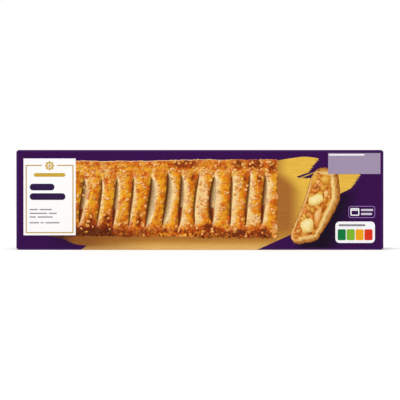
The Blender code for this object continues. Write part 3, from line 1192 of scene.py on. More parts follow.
def scatter_tree():
    """Geometry Nodes that scatter small flat specks over a drawing, more where its weight is higher."""
    tree = bpy.data.node_groups.new("scattered_specks", "GeometryNodeTree")
    for name, kind, way in (
        ("Drawing", "NodeSocketGeometry", "INPUT"),
        ("Weight", "NodeSocketString", "INPUT"),
        ("Specks per area", "NodeSocketFloat", "INPUT"),
        ("Mean size", "NodeSocketFloat", "INPUT"),
        ("Stretch", "NodeSocketFloat", "INPUT"),
        ("Thickness", "NodeSocketFloat", "INPUT"),
        ("Shade offset", "NodeSocketFloat", "INPUT"),
        ("Shade drop", "NodeSocketFloat", "INPUT"),
        ("Seed", "NodeSocketInt", "INPUT"),
        ("Ink", "NodeSocketMaterial", "INPUT"),
        ("Specks", "NodeSocketGeometry", "OUTPUT"),
    ):
        tree.interface.new_socket(name, in_out=way, socket_type=kind)
    given = add_node(tree, "NodeGroupInput").outputs
    weight = add_node(tree, "GeometryNodeInputNamedAttribute", {"Name": given["Weight"]}, data_type="FLOAT")
    density = add_node(tree, "ShaderNodeMath", {
        0: weight, 1: given["Specks per area"]}, operation="MULTIPLY")
    points = add_node(tree, "GeometryNodeDistributePointsOnFaces", {
        "Mesh": given["Drawing"], "Density": density, "Seed": given["Seed"]})
    radius = add_node(tree, "ShaderNodeMath", {0: given["Mean size"], 1: 0.5}, operation="MULTIPLY")
    speck = add_node(tree, "GeometryNodeMeshCylinder", {
        "Vertices": 6, "Side Segments": 1, "Radius": radius, "Depth": given["Thickness"]})
    small = add_node(tree, "ShaderNodeCombineXYZ", {0: 0.55, 1: 0.5, 2: 1.0})
    large = add_node(tree, "ShaderNodeCombineXYZ", {0: given["Stretch"], 1: 1.15, 2: 1.0})
    scale = add_node(tree, "FunctionNodeRandomValue", {
        0: small, 1: large, "Seed": given["Seed"]}, data_type="FLOAT_VECTOR")
    turn = add_node(tree, "FunctionNodeRandomValue", {
        0: (0.0, 0.0, 0.0), 1: (0.0, 0.0, math.tau), "Seed": 5}, data_type="FLOAT_VECTOR")
    placed = add_node(tree, "GeometryNodeInstanceOnPoints", {
        "Points": points.outputs["Points"], "Instance": speck.outputs["Mesh"], "Rotation": turn,
        "Scale": scale})
    chance = add_node(tree, "FunctionNodeRandomValue", {2: 0.25, 3: 1.0, "Seed": 9}, data_type="FLOAT")
    baked = add_node(tree, "GeometryNodeInputNamedAttribute", {"Name": "browning"}, data_type="FLOAT")
    dark = add_node(tree, "ShaderNodeMath", {0: baked, 1: 0.0}, operation="MAXIMUM")
    tone = add_node(tree, "ShaderNodeMath", {
        0: dark, 1: -0.35, 2: chance.outputs[1]}, operation="MULTIPLY_ADD")
    toned = add_node(tree, "GeometryNodeStoreNamedAttribute", {
        "Geometry": placed, "Name": "tone", "Value": tone}, data_type="FLOAT", domain="INSTANCE")
    # Each speck has a shade of its own, printed a little to its lower right and just under it.
    shaded = add_node(tree, "GeometryNodeStoreNamedAttribute", {
        "Geometry": placed, "Name": "tone", "Value": 0.0}, data_type="FLOAT", domain="INSTANCE")
    offset = add_node(tree, "ShaderNodeCombineXYZ", {
        0: given["Shade offset"], 1: given["Shade drop"], 2: -1.2 * INK})
    shades = add_node(tree, "GeometryNodeTranslateInstances", {
        "Instances": shaded, "Translation": offset, "Local Space": False})
    both = add_node(tree, "GeometryNodeJoinGeometry")
    tree.links.new(shades.outputs[0], both.inputs[0])
    tree.links.new(toned.outputs[0], both.inputs[0])
    real = add_node(tree, "GeometryNodeRealizeInstances", {0: both})
    inked = add_node(tree, "GeometryNodeSetMaterial", {"Geometry": real, "Material": given["Ink"]})
    add_node(tree, "NodeGroupOutput", {"Specks": inked})
    return tree


def weigh(bm, name, rule):
    """Gives the drawing a weight at every vertex, for the scattering, with less on the pale strips."""
    layer = bm.verts.layers.float.new(name)
    baked = bm.verts.layers.float["browning"]
    for vertex in bm.verts:
        vertex[layer] = rule(vertex.co.x, vertex.co.y) * (1 + 0.25 * max(-1, min(0, vertex[baked])))
    return bm


class CARTON_OT_pastry(bpy.types.Operator):
    """Print the large picture of a strudel, with its slits, sugar and crumbs"""

    bl_idname = "carton.pastry"
    bl_label = "Pictured strudel"

    def execute(self, context):
        settings = context.scene.carton_pastry
        slits = make_slits()
        lay("pictured_strudel", strudel_drawing(settings, slits), on_front, 1.5, pastry_print(),
            False)
        lay("pictured_slits", slits_drawing(slits), on_front, 2.5, slit_print(), False)
        self.scatter_sugar(settings, slits)
        self.scatter_crumbs(settings, slits)
        return {"FINISHED"}

    def scatter_sugar(self, settings, slits):
        def weight(u, v):
            clear = min((abs(u - s.line(v)) - s.open_at(v) * 0.6 for s in slits), default=1.0)
            beside_slits = SLITS_START < v < SLITS_END
            off_slit = smoothstep(0.2 * MM, 2.2 * MM, clear) if beside_slits else 1.0
            patch = smoothstep(-0.25, 0.50, uneven(u, v, 7 * MM, 12.5))
            right = 0.80 + 0.35 * smoothstep(-20 * MM, 40 * MM, u)
            burnt = smoothstep(settings.foot, settings.foot + 14 * MM,
                               v + 12 * MM * smoothstep(-70 * MM, 0.0, u))
            low = 1 - 0.5 * (1 - smoothstep(settings.foot + 6 * MM, settings.foot + 14 * MM, v))
            glazed = 1 - 0.6 * smoothstep(*GLAZED_ABOVE, v) * (1 - smoothstep(*GLAZED_LEFT_OF, u))
            return off_slit * (0.16 + 0.84 * patch) * right * (0.35 + 0.65 * burnt) * low * glazed

        area = (settings.right - settings.left) * (settings.head - settings.foot)
        sheet = weigh(strudel_drawing(settings, slits), "sugar", weight)
        grains = grown_by_nodes("pictured_sugar", sheet, scatter_tree(), {
            "Weight": "sugar", "Specks per area": settings.grain_count / area / 0.6,
            "Mean size": settings.grain, "Stretch": 1.4, "Thickness": INK,
            "Shade offset": 0.35 * MM, "Shade drop": -0.45 * MM, "Seed": settings.seed,
            "Ink": speck_print("process_print_of_sugar", "#A04C0A", "#E4943C", "#EEAA5C", "#F6C684")})
        stamp("pictured_sugar", grains, on_front, 3.5)

    def scatter_crumbs(self, settings, slits):
        def weight(u, v):
            return 1 - smoothstep(settings.foot + 0.5 * MM, settings.foot + 5 * MM, v)

        sheet = weigh(strudel_drawing(settings, slits), "crumbs", weight)
        crumbs = grown_by_nodes("pictured_crumbs", sheet, scatter_tree(), {
            "Weight": "crumbs", "Specks per area": 0.26e6, "Mean size": 1.7 * MM, "Stretch": 1.6,
            "Thickness": INK, "Shade offset": 0.3 * MM, "Shade drop": -0.4 * MM, "Seed": settings.seed + 1,
            "Ink": speck_print("process_print_of_crumbs", "#3E1002", "#742A04", "#9C4E0A", "#C88238")})
        stamp("pictured_crumbs", crumbs, on_front, 3.2)


# ---------------------------------------------------------------------- the pictured slice

# The slice's outline in millimetres on the front panel, anticlockwise from its foot.
SLICE_OUTLINE = (
    (91.9, 5.4),
    (98.4, 6.4),
    (105.1, 7.6),
    (109.4, 10.2),
    (111.8, 14.6),
    (115.2, 19.2),
    (119.4, 26),
    (124.4, 35.3),
    (128.4, 43.9),
    (129.9, 51.4),
    (129.0, 61.8),
    (127.4, 70),
    (124, 74),
    (118.3, 75.7),
    (113.7, 76.2),
    (109.1, 75),
    (105.6, 71.7),
    (102.5, 65.7),
    (99.9, 56.4),
    (96.5, 45.9),
    (91.9, 34),
    (87.2, 23.4),
    (84.3, 16.4),
    (84.4, 10.6),
    (87.2, 6.8),
)

# How many small pieces of filling lie between the large ones.
SMALL_PIECES = 24

# The larger pieces in the filling: kind, how far right, how high, half width, half height, lean in degrees.
FILLING = (
    ("pulp", 107.2, 55.6, 4.6, 3.0, 20),
    ("pulp", 112.4, 58.8, 3.0, 5.0, 20),
    ("pulp", 102.0, 30.0, 3.8, 5.6, 28),
    ("amber", 116.6, 64.6, 4.8, 4.4, 10),
    ("amber", 106.2, 65.0, 2.6, 4.4, -18),
    ("wedge", 109.0, 31.6, 2.9, 7.6, -14),
    ("wedge", 117.0, 51.4, 2.2, 3.8, -12),
    ("apple", 107.4, 46.4, 7.6, 5.0, 22),
    ("apple", 99.4, 22.2, 5.6, 6.8, 20),
)


def filling_pieces(settings):
    """The pieces of the filling: many small ones set by rule, and then the larger ones."""
    rng = random.Random(settings.seed)
    small = []
    for number in range(SMALL_PIECES):
        along, off = (number + rng.random()) / SMALL_PIECES, rng.uniform(-5.5, 5.5)
        u, v = 94.5 + 19.5 * along + 0.93 * off, 15 + 52 * along - 0.36 * off
        kind = rng.choice(("pulp", "pulp", "amber", "wedge"))
        small.append((kind, u, v, rng.uniform(1.0, 3.0), rng.uniform(1.4, 4.2), rng.uniform(-60, 60)))
    return [*small, *FILLING]


def closed_curve(points, steps):
    """A smooth closed curve through a few points."""
    rolled = [*points, *points[:3]]
    curve = smooth_line(rolled, steps)
    return curve[steps : steps * (len(points) + 1)]


def nearest(outline, u, v):
    """How far a place is from a closed outline, which way the nearest point lies, and how far along it is."""
    place, best, toward, along, passed = Vector((u, v)), math.inf, Vector((1, 0)), 0.0, 0.0
    for start, end in zip(outline, outline[1:] + outline[:1]):
        start, side = Vector(start), Vector(end) - Vector(start)
        share = max(0.0, min(1.0, (place - start).dot(side) / max(side.length_squared, 1e-12)))
        away = start + side * share - place
        if away.length < best:
            best, along = away.length, passed + share * side.length
            toward = away.normalized() if away.length > 1e-7 else toward
        passed += side.length
    return best, toward, along


def fine_sheet(outline, cell):
    """A filled outline cut into small square cells, so that it can carry attributes."""
    bm = fill(outline)
    for axis, normal in ((0, (1, 0, 0)), (1, (0, 1, 0))):
        low, high = min(point[axis] for point in outline), max(point[axis] for point in outline)
        for line in range(math.ceil(low / cell), math.ceil(high / cell)):
            place = [0.0, 0.0, 0.0]
            place[axis] = line * cell
            cut_across(bm, place, normal)
    return bm


def slice_drawing(settings):
    """The slice.

    It carries its depth in the crust, how flaky the crust is there, and the run of the crust's layers.
    """
    outline = [(u * MM + settings.shift, v * MM) for u, v in closed_curve(SLICE_OUTLINE, 5)]
    rough = []
    for u, v in outline:
        toward = nearest(outline, u - 2 * MM, v + 1 * MM)[1]
        flake = 0.35 * MM * uneven(u, v, 1.6 * MM, settings.seed)
        flake += 0.5 * MM * uneven(u, v, 4 * MM, settings.seed + 0.5)
        rough.append((u + toward.x * flake, v + toward.y * flake))
    bm = fine_sheet(rough, 1.3 * MM)
    depth = bm.verts.layers.float.new("depth")
    flaky = bm.verts.layers.float.new("flaky")
    layers = bm.verts.layers.float_vector.new("layers")
    for vertex in bm.verts:
        away, toward, along = nearest(rough, vertex.co.x, vertex.co.y)
        vertex[layers] = (along * 0.42, away, 0)
        right = smoothstep(-0.1, 0.7, toward.x * 0.9 - toward.y * 0.3)
        thinned = 0.58 + 0.42 * smoothstep(14 * MM, 36 * MM, vertex.co.y)
        end = smoothstep(0.55, 0.9, abs(toward.y))
        thickness = settings.bottom_crust + (settings.top_crust * thinned - settings.bottom_crust) * right
        thickness = max(thickness, settings.end_crust * end)
        vertex[depth] = away / thickness
        vertex[flaky] = max(right, 0.8 * end)
    return bm


def pebble(u, v, half_u, half_v, lean, seed):
    """The outline of one cut piece of fruit: round, a little boxy and uneven, and leaning."""
    points = []
    turn = math.radians(lean)
    for step in range(26):
        angle = math.tau * step / 26
        ray = Vector((math.cos(angle), math.sin(angle), seed))
        blunt = (abs(ray.x) ** 2.5 + abs(ray.y) ** 2.5) ** (-1 / 2.5)
        reach = blunt * (1 + 0.34 * noise.noise(ray * 1.1) + 0.12 * noise.noise(ray * 3.1))
        x, y = half_u * reach * ray.x, half_v * reach * ray.y
        points.append((u + x * math.cos(turn) - y * math.sin(turn),
                       v + x * math.sin(turn) + y * math.cos(turn)))
    return points


def fruit_drawing(settings, kind):
    """All the pieces of one kind in the filling, with how much light falls on each place."""
    whole = bmesh.new()
    mesh = bpy.data.meshes.new("fruit")
    for number, (own_kind, u, v, half_u, half_v, lean) in enumerate(filling_pieces(settings)):
        if own_kind != kind:
            continue
        outline = pebble(u * MM + settings.shift, v * MM, half_u * MM, half_v * MM, lean,
                         settings.seed + number * 1.7)
        bm = fine_sheet(outline, 1.1 * MM)
        light = bm.verts.layers.float.new("light")
        for vertex in bm.verts:
            away = nearest(outline, vertex.co.x, vertex.co.y)[0]
            across = (vertex.co.x - settings.shift - u * MM) / (half_u * MM)
            up = (vertex.co.y - v * MM) / (half_v * MM)
            edge = 0.5 + 0.5 * smoothstep(0.0, 0.7 * min(half_u, half_v) * MM, away)
            vertex[light] = edge * (0.62 - 0.20 * across + 0.24 * up)
        bm.to_mesh(mesh)
        bm.free()
        whole.from_mesh(mesh)
    bpy.data.meshes.remove(mesh)
    return whole


def slice_print():
    """Four-colour print of the cut slice.

    It shows a thin pale crust, a flaky browned crust at the right, and moist filling.
    """
    material, tree, shader, place = varnished_board("process_print_of_slice", 0.42)
    depth = add_node(tree, "ShaderNodeAttribute", attribute_name="depth")
    flaky = add_node(tree, "ShaderNodeAttribute", attribute_name="flaky")
    run = add_node(tree, "ShaderNodeAttribute", attribute_name="layers")
    bubbles = add_node(tree, "ShaderNodeTexNoise", {
        "Vector": place, "Scale": 1 / (2.4 * MM), "Detail": 2.0})
    rough = add_node(tree, "ShaderNodeMath", {
        0: bubbles, 1: 0.26, 2: depth.outputs["Fac"]}, operation="MULTIPLY_ADD")
    layer = add_node(tree, "ShaderNodeMath", {0: rough, 1: 0.13}, operation="SUBTRACT")
    thin = add_node(tree, "ShaderNodeValToRGB", {"Fac": layer}, stops=(
        (0.0, "#B06C24"), (0.20, "#D0944A"), (0.55, "#EAC080"), (0.95, "#CC8A3E")))
    thick = add_node(tree, "ShaderNodeValToRGB", {"Fac": layer}, stops=(
        (0.0, "#74390A"), (0.08, "#A4601E"), (0.30, "#BC7E36"), (0.48, "#CC984C"), (0.60, "#DAB068"),
        (0.78, "#EACA8A"), (0.92, "#E2BA68"), (1.0, "#CE923E")))
    crust = add_node(tree, "ShaderNodeMix", {0: flaky.outputs["Fac"], 6: thin, 7: thick}, **COLOURS)
    leaves = add_node(tree, "ShaderNodeTexNoise", {
        "Vector": run.outputs["Vector"], "Scale": 1 / (1.5 * MM), "Detail": 2.0})
    outer = add_node(tree, "ShaderNodeMapRange", {
        "Value": layer, "From Min": 0.35, "From Max": 0.65, "To Min": 0.42, "To Max": 0.84})
    leaf_tone = add_node(tree, "ShaderNodeMapRange", {
        "Value": leaves, "From Min": 0.36, "From Max": 0.56, "To Min": outer})
    leaf_tint = add_node(tree, "ShaderNodeMix", {
        0: leaf_tone, 6: (0.30, 0.11, 0.0, 1.0), 7: (1.14, 1.14, 1.10, 1.0)}, **COLOURS)
    layered = add_node(tree, "ShaderNodeMix", {0: 1.0, 6: crust, 7: leaf_tint}, **TINTS, clamp_result=True)
    pulp = add_node(tree, "ShaderNodeTexNoise", {"Vector": place, "Scale": 1 / (3.4 * MM), "Detail": 4.0})
    filling = add_node(tree, "ShaderNodeValToRGB", {"Fac": pulp}, stops=(
        (0.30, "#8E3C04"), (0.42, "#B86010"), (0.52, "#D28228"), (0.64, "#E4A850"), (0.76, "#F0C678")))
    inside = add_node(tree, "ShaderNodeMapRange", {
        "Value": layer, "From Min": 0.94, "From Max": 1.10}, **EASED)
    colour = add_node(tree, "ShaderNodeMix", {0: inside, 6: layered, 7: filling}, **COLOURS)
    lit = add_node(tree, "ShaderNodeMix", {
        0: 1.0, 6: colour, 7: emboss(tree, place, 1.8 * MM, 0.8)}, **TINTS, clamp_result=True)
    tree.links.new(lit.outputs[2], shader.inputs["Base Color"])
    return material


def fruit_print(name, shade, middle, bright):
    """Four-colour print of stewed fruit, from its shaded edge to its wet highlights."""
    material, tree, shader, place = varnished_board(name, 0.42)
    light = add_node(tree, "ShaderNodeAttribute", attribute_name="light")
    fibres = add_node(tree, "ShaderNodeTexNoise", {"Vector": place, "Scale": 1 / (1.8 * MM), "Detail": 3.0})
    spread = add_node(tree, "ShaderNodeMath", {
        0: fibres, 1: 0.5, 2: light.outputs["Fac"]}, operation="MULTIPLY_ADD")
    level = add_node(tree, "ShaderNodeMath", {0: spread, 1: 0.25}, operation="SUBTRACT")
    colour = add_node(tree, "ShaderNodeValToRGB", {"Fac": level}, stops=(
        (0.05, shade), (0.40, middle), (0.82, bright)))
    tree.links.new(colour.outputs[0], shader.inputs["Base Color"])
    return material


class CARTON_OT_slice(bpy.types.Operator):
    """Print the picture of one slice, with its crust, its filling and pieces of apple"""

    bl_idname = "carton.slice"
    bl_label = "Pictured slice"

    def execute(self, context):
        settings = context.scene.carton_slice
        lay("pictured_slice", slice_drawing(settings), on_front, 4.5, slice_print(), False)
        for level, (kind, colours) in enumerate({
            "pulp": ("#8E3E08", "#D0741E", "#EEA456"),
            "amber": ("#A05C08", "#D8942A", "#EEC25C"),
            "wedge": ("#B8681C", "#E6A04A", "#F6D090"),
            "apple": ("#CE9230", "#F2D680", "#FDF0B8"),
        }.items()):
            ink = fruit_print(f"process_print_of_{kind}", *colours)
            lay(f"pictured_{kind}", fruit_drawing(settings, kind), on_front, 5.5 + level, ink,
                False)
        return {"FINISHED"}


# ---------------------------------------------------------------------- label and marks


def rosette(centre, radius):
    """A generic flower of eight petals round a small disc, as separate outlines."""
    shapes = [arc(centre, radius * 0.26, 0, 330, 11)]
    for petal in range(8):
        angle = math.tau * petal / 8
        along = Vector((math.cos(angle), math.sin(angle)))
        across = Vector((-math.sin(angle), math.cos(angle)))
        outline = []
        for step in range(14):
            turn = math.tau * step / 14
            reach = radius * (0.68 + 0.32 * math.cos(turn))
            width = radius * 0.235 * math.sin(turn) * (1.05 + 0.35 * math.cos(turn))
            outline.append(tuple(Vector(centre) + along * reach + across * width))
        shapes.append(outline)
    return shapes


def broken_frame(left, foot, width, height, line, gap_left, gap_right):
    """A thin rectangular frame whose upper side is open between two places."""
    right, head = left + width, foot + height
    outer = [(gap_left, head), (left, head), (left, foot), (right, foot), (right, head), (gap_right, head)]
    inner = [
        (gap_left, head - line),
        (left + line, head - line),
        (left + line, foot + line),
        (right - line, foot + line),
        (right - line, head - line),
        (gap_right, head - line),
    ]
    return band([outer, inner])


class CARTON_OT_label(bpy.types.Operator):
    """Print the white label with its gold keyline, a small ornament and bars in place of words"""

    bl_idname = "carton.label"
    bl_label = "White label"

    def execute(self, context):
        settings = context.scene.carton_label
        left, foot = settings.left, settings.foot
        middle, head = left + settings.width / 2, foot + settings.height
        white = spot_ink("unprinted_white_board", settings.paper, 0.012)
        gold = spot_ink("gold_keyline_ink", settings.gold, 0.06)
        purple = spot_ink("dark_purple_ink", settings.title, 0.05)
        grey = spot_ink("grey_ink", settings.words, 0.05)
        sheet = fill(box(left, foot, settings.width, settings.height))
        lay("label_white", sheet, on_front, 10.5, white)
        inset = 2.0 * MM
        frame = broken_frame(
            left + inset, foot + inset, settings.width - 2 * inset, settings.height - 7.9 * MM,
            settings.keyline, middle - 6.9 * MM, middle + 6.9 * MM)
        lay("label_keyline", frame, on_front, 11.5, gold)
        ornament = fill_all(rosette((middle, head - 6.7 * MM), 4.3 * MM))
        bright = spot_ink("gold_ornament_ink", settings.ornament, 0.08)
        lay("label_ornament", ornament, on_front, 11.5, bright)
        word = fill(bar(middle - 14.6 * MM, head - 15.2 * MM, 29.2 * MM, 3.4 * MM))
        lay("label_gold_bar", word, on_front, 11.5, bright)
        titles = fill_all([
            bar(left + 5.7 * MM, foot + 44.6 * MM, 23.0 * MM, 6.2 * MM),
            bar(left + 5.7 * MM, foot + 35.8 * MM, 33.2 * MM, 6.2 * MM),
        ])
        lay("label_title_bars", titles, on_front, 11.5, purple)
        rows = ((23.8, (7.8, 11.6)), (20.3, (16.4, 7.6)), (16.9, (6.0, 14.4)), (11.6, (8.8, 3.2, 13.2)))
        small = []
        for height, widths in rows:
            start = left + 5.6 * MM
            for width in widths:
                small.append(bar(start, foot + height * MM, width * MM, 1.2 * MM))
                start += (width + 1.3) * MM
        lay("label_word_bars", fill_all(small), on_front, 11.5, grey)
        return {"FINISHED"}


def oven_mark(left, foot, size):
    """A generic oven: a rounded frame with a row of knobs above a window, as flat pieces."""
    width, height = size, size * 0.86
    inset = size * 0.12
    window = rounded_box(left + inset, foot + inset, width * 0.76, height * 0.52, size * 0.05)
    knobs = [(left + width * (0.2 + 0.2 * knob), foot + height * 0.84) for knob in range(4)]
    return (ring(rounded_box(left, foot, width, height, inset), window),
            [arc(knob, size * 0.055, 0, 315, 7) for knob in knobs])


class CARTON_OT_marks(bpy.types.Operator):
    """Print the date field, the oven mark and the small card with four colour marks"""

    bl_idname = "carton.marks"
    bl_label = "Small marks"

    def execute(self, context):
        settings = context.scene.carton_marks
        light = spot_ink("white_marks_ink", settings.light, 0.02)
        line = spot_ink("lilac_line_ink", settings.line, 0.05)
        field = spot_ink("lilac_field_ink", settings.field, 0.04)
        dark = spot_ink("purple_marks_ink", context.scene.carton_board.ground, 0.04)
        lay("date_field", fill(box(118.7 * MM, 70.2 * MM, 48.4 * MM, 19.4 * MM)), on_front, 10.5, field)
        words = fill(bar(119.3 * MM, 87.9 * MM, 33 * MM, 1.3 * MM))
        lay("date_field_bar", words, on_front, 11.5, light)
        self.print_oven_box(light, spot_ink("pale_lilac_ink", settings.pale, 0.04), line, dark)
        self.print_card(settings, light)
        return {"FINISHED"}

    def print_oven_box(self, light, pale, line, dark):
        outer = rounded_box(137.5 * MM, 29.6 * MM, 24.6 * MM, 10.9 * MM, 2.2 * MM)
        inner = rounded_box(137.95 * MM, 30.05 * MM, 23.7 * MM, 10.0 * MM, 1.8 * MM)
        lay("oven_box_line", ring(outer, inner), on_front, 10.5, line)
        frame, knobs = oven_mark(139.3 * MM, 31.6 * MM, 8.2 * MM)
        lay("oven_mark", frame, on_front, 10.5, light)
        lay("oven_mark_knobs", fill_all(knobs), on_front, 11.5, dark)
        bars = fill_all([bar(149.0 * MM, 36.9 * MM, 11.4 * MM, 1.9 * MM),
                         bar(149.0 * MM, 33.2 * MM, 10.4 * MM, 1.9 * MM)])
        lay("oven_bars", bars, on_front, 10.5, pale)

    def print_card(self, settings, light):
        card = fill(rounded_box(125.4 * MM, 6.4 * MM, 36.6 * MM, 19.8 * MM, 3.8 * MM))
        lay("card", card, on_front, 10.5, light)
        grey = spot_ink("card_grey_ink", settings.words, 0.04)
        words = fill(bar(128.2 * MM, 22.8 * MM, 25 * MM, 1.9 * MM))
        lay("card_bar", words, on_front, 11.5, grey)
        for number, name in enumerate(("green", "lime", "amber", "red")):
            patch = rounded_box((127.5 + 8.25 * number) * MM, 8.9 * MM, 7.55 * MM, 10.2 * MM, 1.3 * MM)
            ink = spot_ink(f"card_{name}_ink", getattr(settings, name), 0.04)
            lay(f"card_mark_{name}", fill(patch), on_front, 11.5, ink)


# ---------------------------------------------------------------------- the other sides


def word_rows_tree():
    """Geometry Nodes that set out rows of small bars of uneven length, like the lines of a short text."""
    tree = bpy.data.node_groups.new("rows_of_words", "GeometryNodeTree")
    for name, kind, way in (
        ("Drawing", "NodeSocketGeometry", "INPUT"),
        ("Words in a row", "NodeSocketInt", "INPUT"),
        ("Rows", "NodeSocketInt", "INPUT"),
        ("Width", "NodeSocketFloat", "INPUT"),
        ("Height", "NodeSocketFloat", "INPUT"),
        ("Word length", "NodeSocketFloat", "INPUT"),
        ("Word height", "NodeSocketFloat", "INPUT"),
        ("Thickness", "NodeSocketFloat", "INPUT"),
        ("Seed", "NodeSocketInt", "INPUT"),
        ("Ink", "NodeSocketMaterial", "INPUT"),
        ("Words", "NodeSocketGeometry", "OUTPUT"),
    ):
        tree.interface.new_socket(name, in_out=way, socket_type=kind)
    given = add_node(tree, "NodeGroupInput").outputs
    places = add_node(tree, "GeometryNodeMeshGrid", {
        "Size X": given["Width"], "Size Y": given["Height"], "Vertices X": given["Words in a row"],
        "Vertices Y": given["Rows"]})
    size = add_node(tree, "ShaderNodeCombineXYZ", {
        0: given["Word length"], 1: given["Word height"], 2: given["Thickness"]})
    word = add_node(tree, "GeometryNodeMeshCube", {"Size": size})
    shrink = add_node(tree, "FunctionNodeRandomValue", {
        0: (0.38, 1.0, 1.0), 1: (0.92, 1.0, 1.0), "Seed": given["Seed"]}, data_type="FLOAT_VECTOR")
    kept = add_node(tree, "FunctionNodeRandomValue", {
        "Probability": 0.93, "Seed": given["Seed"]}, data_type="BOOLEAN")
    placed = add_node(tree, "GeometryNodeInstanceOnPoints", {
        "Points": places.outputs["Mesh"], "Selection": kept.outputs[3], "Instance": word.outputs["Mesh"],
        "Scale": shrink})
    real = add_node(tree, "GeometryNodeRealizeInstances", {0: placed})
    inked = add_node(tree, "GeometryNodeSetMaterial", {"Geometry": real, "Material": given["Ink"]})
    add_node(tree, "NodeGroupOutput", {"Words": inked})
    return tree


class CARTON_OT_sides(bpy.types.Operator):
    """Print the back, the top and the end flaps in the manner of the front"""

    bl_idname = "carton.sides"
    bl_label = "Back, top and ends"

    def execute(self, context):
        scene = context.scene
        self.settings = scene.carton_sides
        self.tree = word_rows_tree()
        self.white = spot_ink("sides_white_ink", scene.carton_label.paper, 0.015)
        self.gold = spot_ink("sides_gold_ink", scene.carton_label.ornament, 0.07)
        self.lilac = spot_ink("sides_lilac_ink", scene.carton_marks.line, 0.05)
        self.purple = spot_ink("sides_purple_ink", scene.carton_label.title, 0.05)
        self.grey = spot_ink("sides_grey_ink", scene.carton_label.words, 0.05)
        self.sweep = gold_print(scene.carton_gold, scene.carton_pastry, shadowed=False)
        self.print_back()
        self.print_top()
        self.print_end("right_end", on_right_end)
        self.print_end("left_end", on_left_end)
        return {"FINISHED"}

    def words(self, name, panel, level, left, head, width, rows, ink, words_in_row=9):
        """Rows of small bars with their upper left corner here."""
        pitch = width / words_in_row
        height = (rows - 1) * self.settings.line_pitch
        mesh = grown_by_nodes(name, bmesh.new(), self.tree, {
            "Words in a row": words_in_row, "Rows": rows, "Width": width - pitch, "Height": height,
            "Word length": pitch, "Word height": self.settings.word_height, "Thickness": INK,
            "Seed": self.settings.seed + len(name), "Ink": ink})
        for vertex in mesh.vertices:
            vertex.co += Vector((left + width / 2, head - height / 2 - self.settings.word_height / 2,
                                 INK / 2))
        stamp(name, mesh, panel, level)

    def title(self, name, panel, level, left, head, scale, ink):
        """Two title bars with their upper left corner here."""
        unit = scale * MM
        bars = fill_all([
            bar(left, head - 3.1 * unit, 23 * unit, 6.2 * unit),
            bar(left, head - 11.9 * unit, 33.2 * unit, 6.2 * unit),
        ])
        lay(name, bars, panel, level, ink)

    def print_back(self):
        margin, half = self.settings.margin, LENGTH / 2
        head = HEIGHT - margin
        sweep = [
            (-half + 20 * MM, 3.2 * MM),
            (-half + 60 * MM, 6.5 * MM),
            (-20 * MM, 11 * MM),
            (60 * MM, 15 * MM),
            (half - 26 * MM, 22 * MM),
        ]
        edge = [(half - 26 * MM, 22 * MM), (half - 32 * MM, 12 * MM), (half - 40 * MM, 3.2 * MM)]
        ragged = ragged_line(edge, 2.4 * MM, 2 * MM, (1, 0.35), 17)
        lay("back_gold_sweep", fill(smooth_line(sweep)[:-1] + ragged), on_back, 0.5, self.sweep)
        lay("back_white_panel", fill(rounded_box(-half + margin, 20 * MM, 96 * MM, head - 20 * MM, 2 * MM)),
            on_back, 1.5, self.white)
        self.title("back_title_bars", on_back, 2.5, -half + margin + 5 * MM, head - 5 * MM, 0.62, self.purple)
        self.words("back_words_left", on_back, 2.5,
                   -half + margin + 5 * MM, head - 21 * MM, 40 * MM, 14, self.grey, 7)
        self.words("back_words_middle", on_back, 2.5,
                   -half + margin + 51 * MM, head - 6 * MM, 40 * MM, 20, self.grey, 6)
        lay("back_keyline", ring(rounded_box(-47 * MM, 24 * MM, 90 * MM, head - 24 * MM, 2 * MM),
                                 rounded_box(-46.4 * MM, 24.6 * MM, 88.8 * MM, head - 25.2 * MM, 1.5 * MM)),
            on_back, 1.5, self.gold)
        for number in range(3):
            left = (-38 + 27 * number) * MM
            frame, knobs = oven_mark(left, head - 24 * MM, 16 * MM)
            lay(f"back_oven_{number + 1}", frame, on_back, 1.5, self.lilac)
            lay(f"back_oven_knobs_{number + 1}", fill_all(knobs), on_back, 2.5, self.purple)
            self.words(f"back_steps_{number + 1}", on_back, 1.5,
                       left - 2 * MM, head - 30 * MM, 22 * MM, 8, self.lilac, 3)
        lay("back_ornament", fill_all(rosette((half - 60 * MM, head - 12 * MM), 9 * MM)), on_back, 1.5,
            self.gold)
        self.title("back_light_title", on_back, 1.5, half - 110 * MM, head - 28 * MM, 1.0, self.white)
        self.words("back_words_right", on_back, 1.5,
                   half - 66 * MM, head - 28 * MM, 52 * MM, 7, self.lilac, 7)

    def print_top(self):
        half, middle = LENGTH / 2, DEPTH / 2
        sweep = smooth_line(metres((-40, 3), (20, 9), (80, 22), (112, 43)))
        ragged = ragged_line(metres((112, 43), (128, 30), (120, 20), (131, 3)),
                             2.6 * MM, 2 * MM, (1, 0.35), 19)
        lay("top_gold_sweep", fill(sweep[:-1] + ragged), on_top, 0.5, self.sweep)
        lay("top_white_label", fill(box(-half + 6.6 * MM, 6 * MM, 84 * MM, DEPTH - 12 * MM)), on_top, 1.5,
            self.white)
        lay("top_keyline", broken_frame(-half + 8.6 * MM, 8 * MM, 80 * MM, DEPTH - 18 * MM, 0.7 * MM,
                                        -half + 14 * MM, -half + 27 * MM), on_top, 2.5, self.gold)
        lay("top_ornament", fill_all(rosette((-half + 20.5 * MM, DEPTH - 10.4 * MM), 4.3 * MM)), on_top, 2.5,
            self.gold)
        self.title("top_title_bars", on_top, 2.5, -half + 40 * MM, middle + 7.4 * MM, 1.0, self.purple)
        lay("top_gold_bar", fill(bar(-half + 12.6 * MM, middle - 1 * MM, 17 * MM, 3.2 * MM)), on_top, 2.5,
            self.gold)

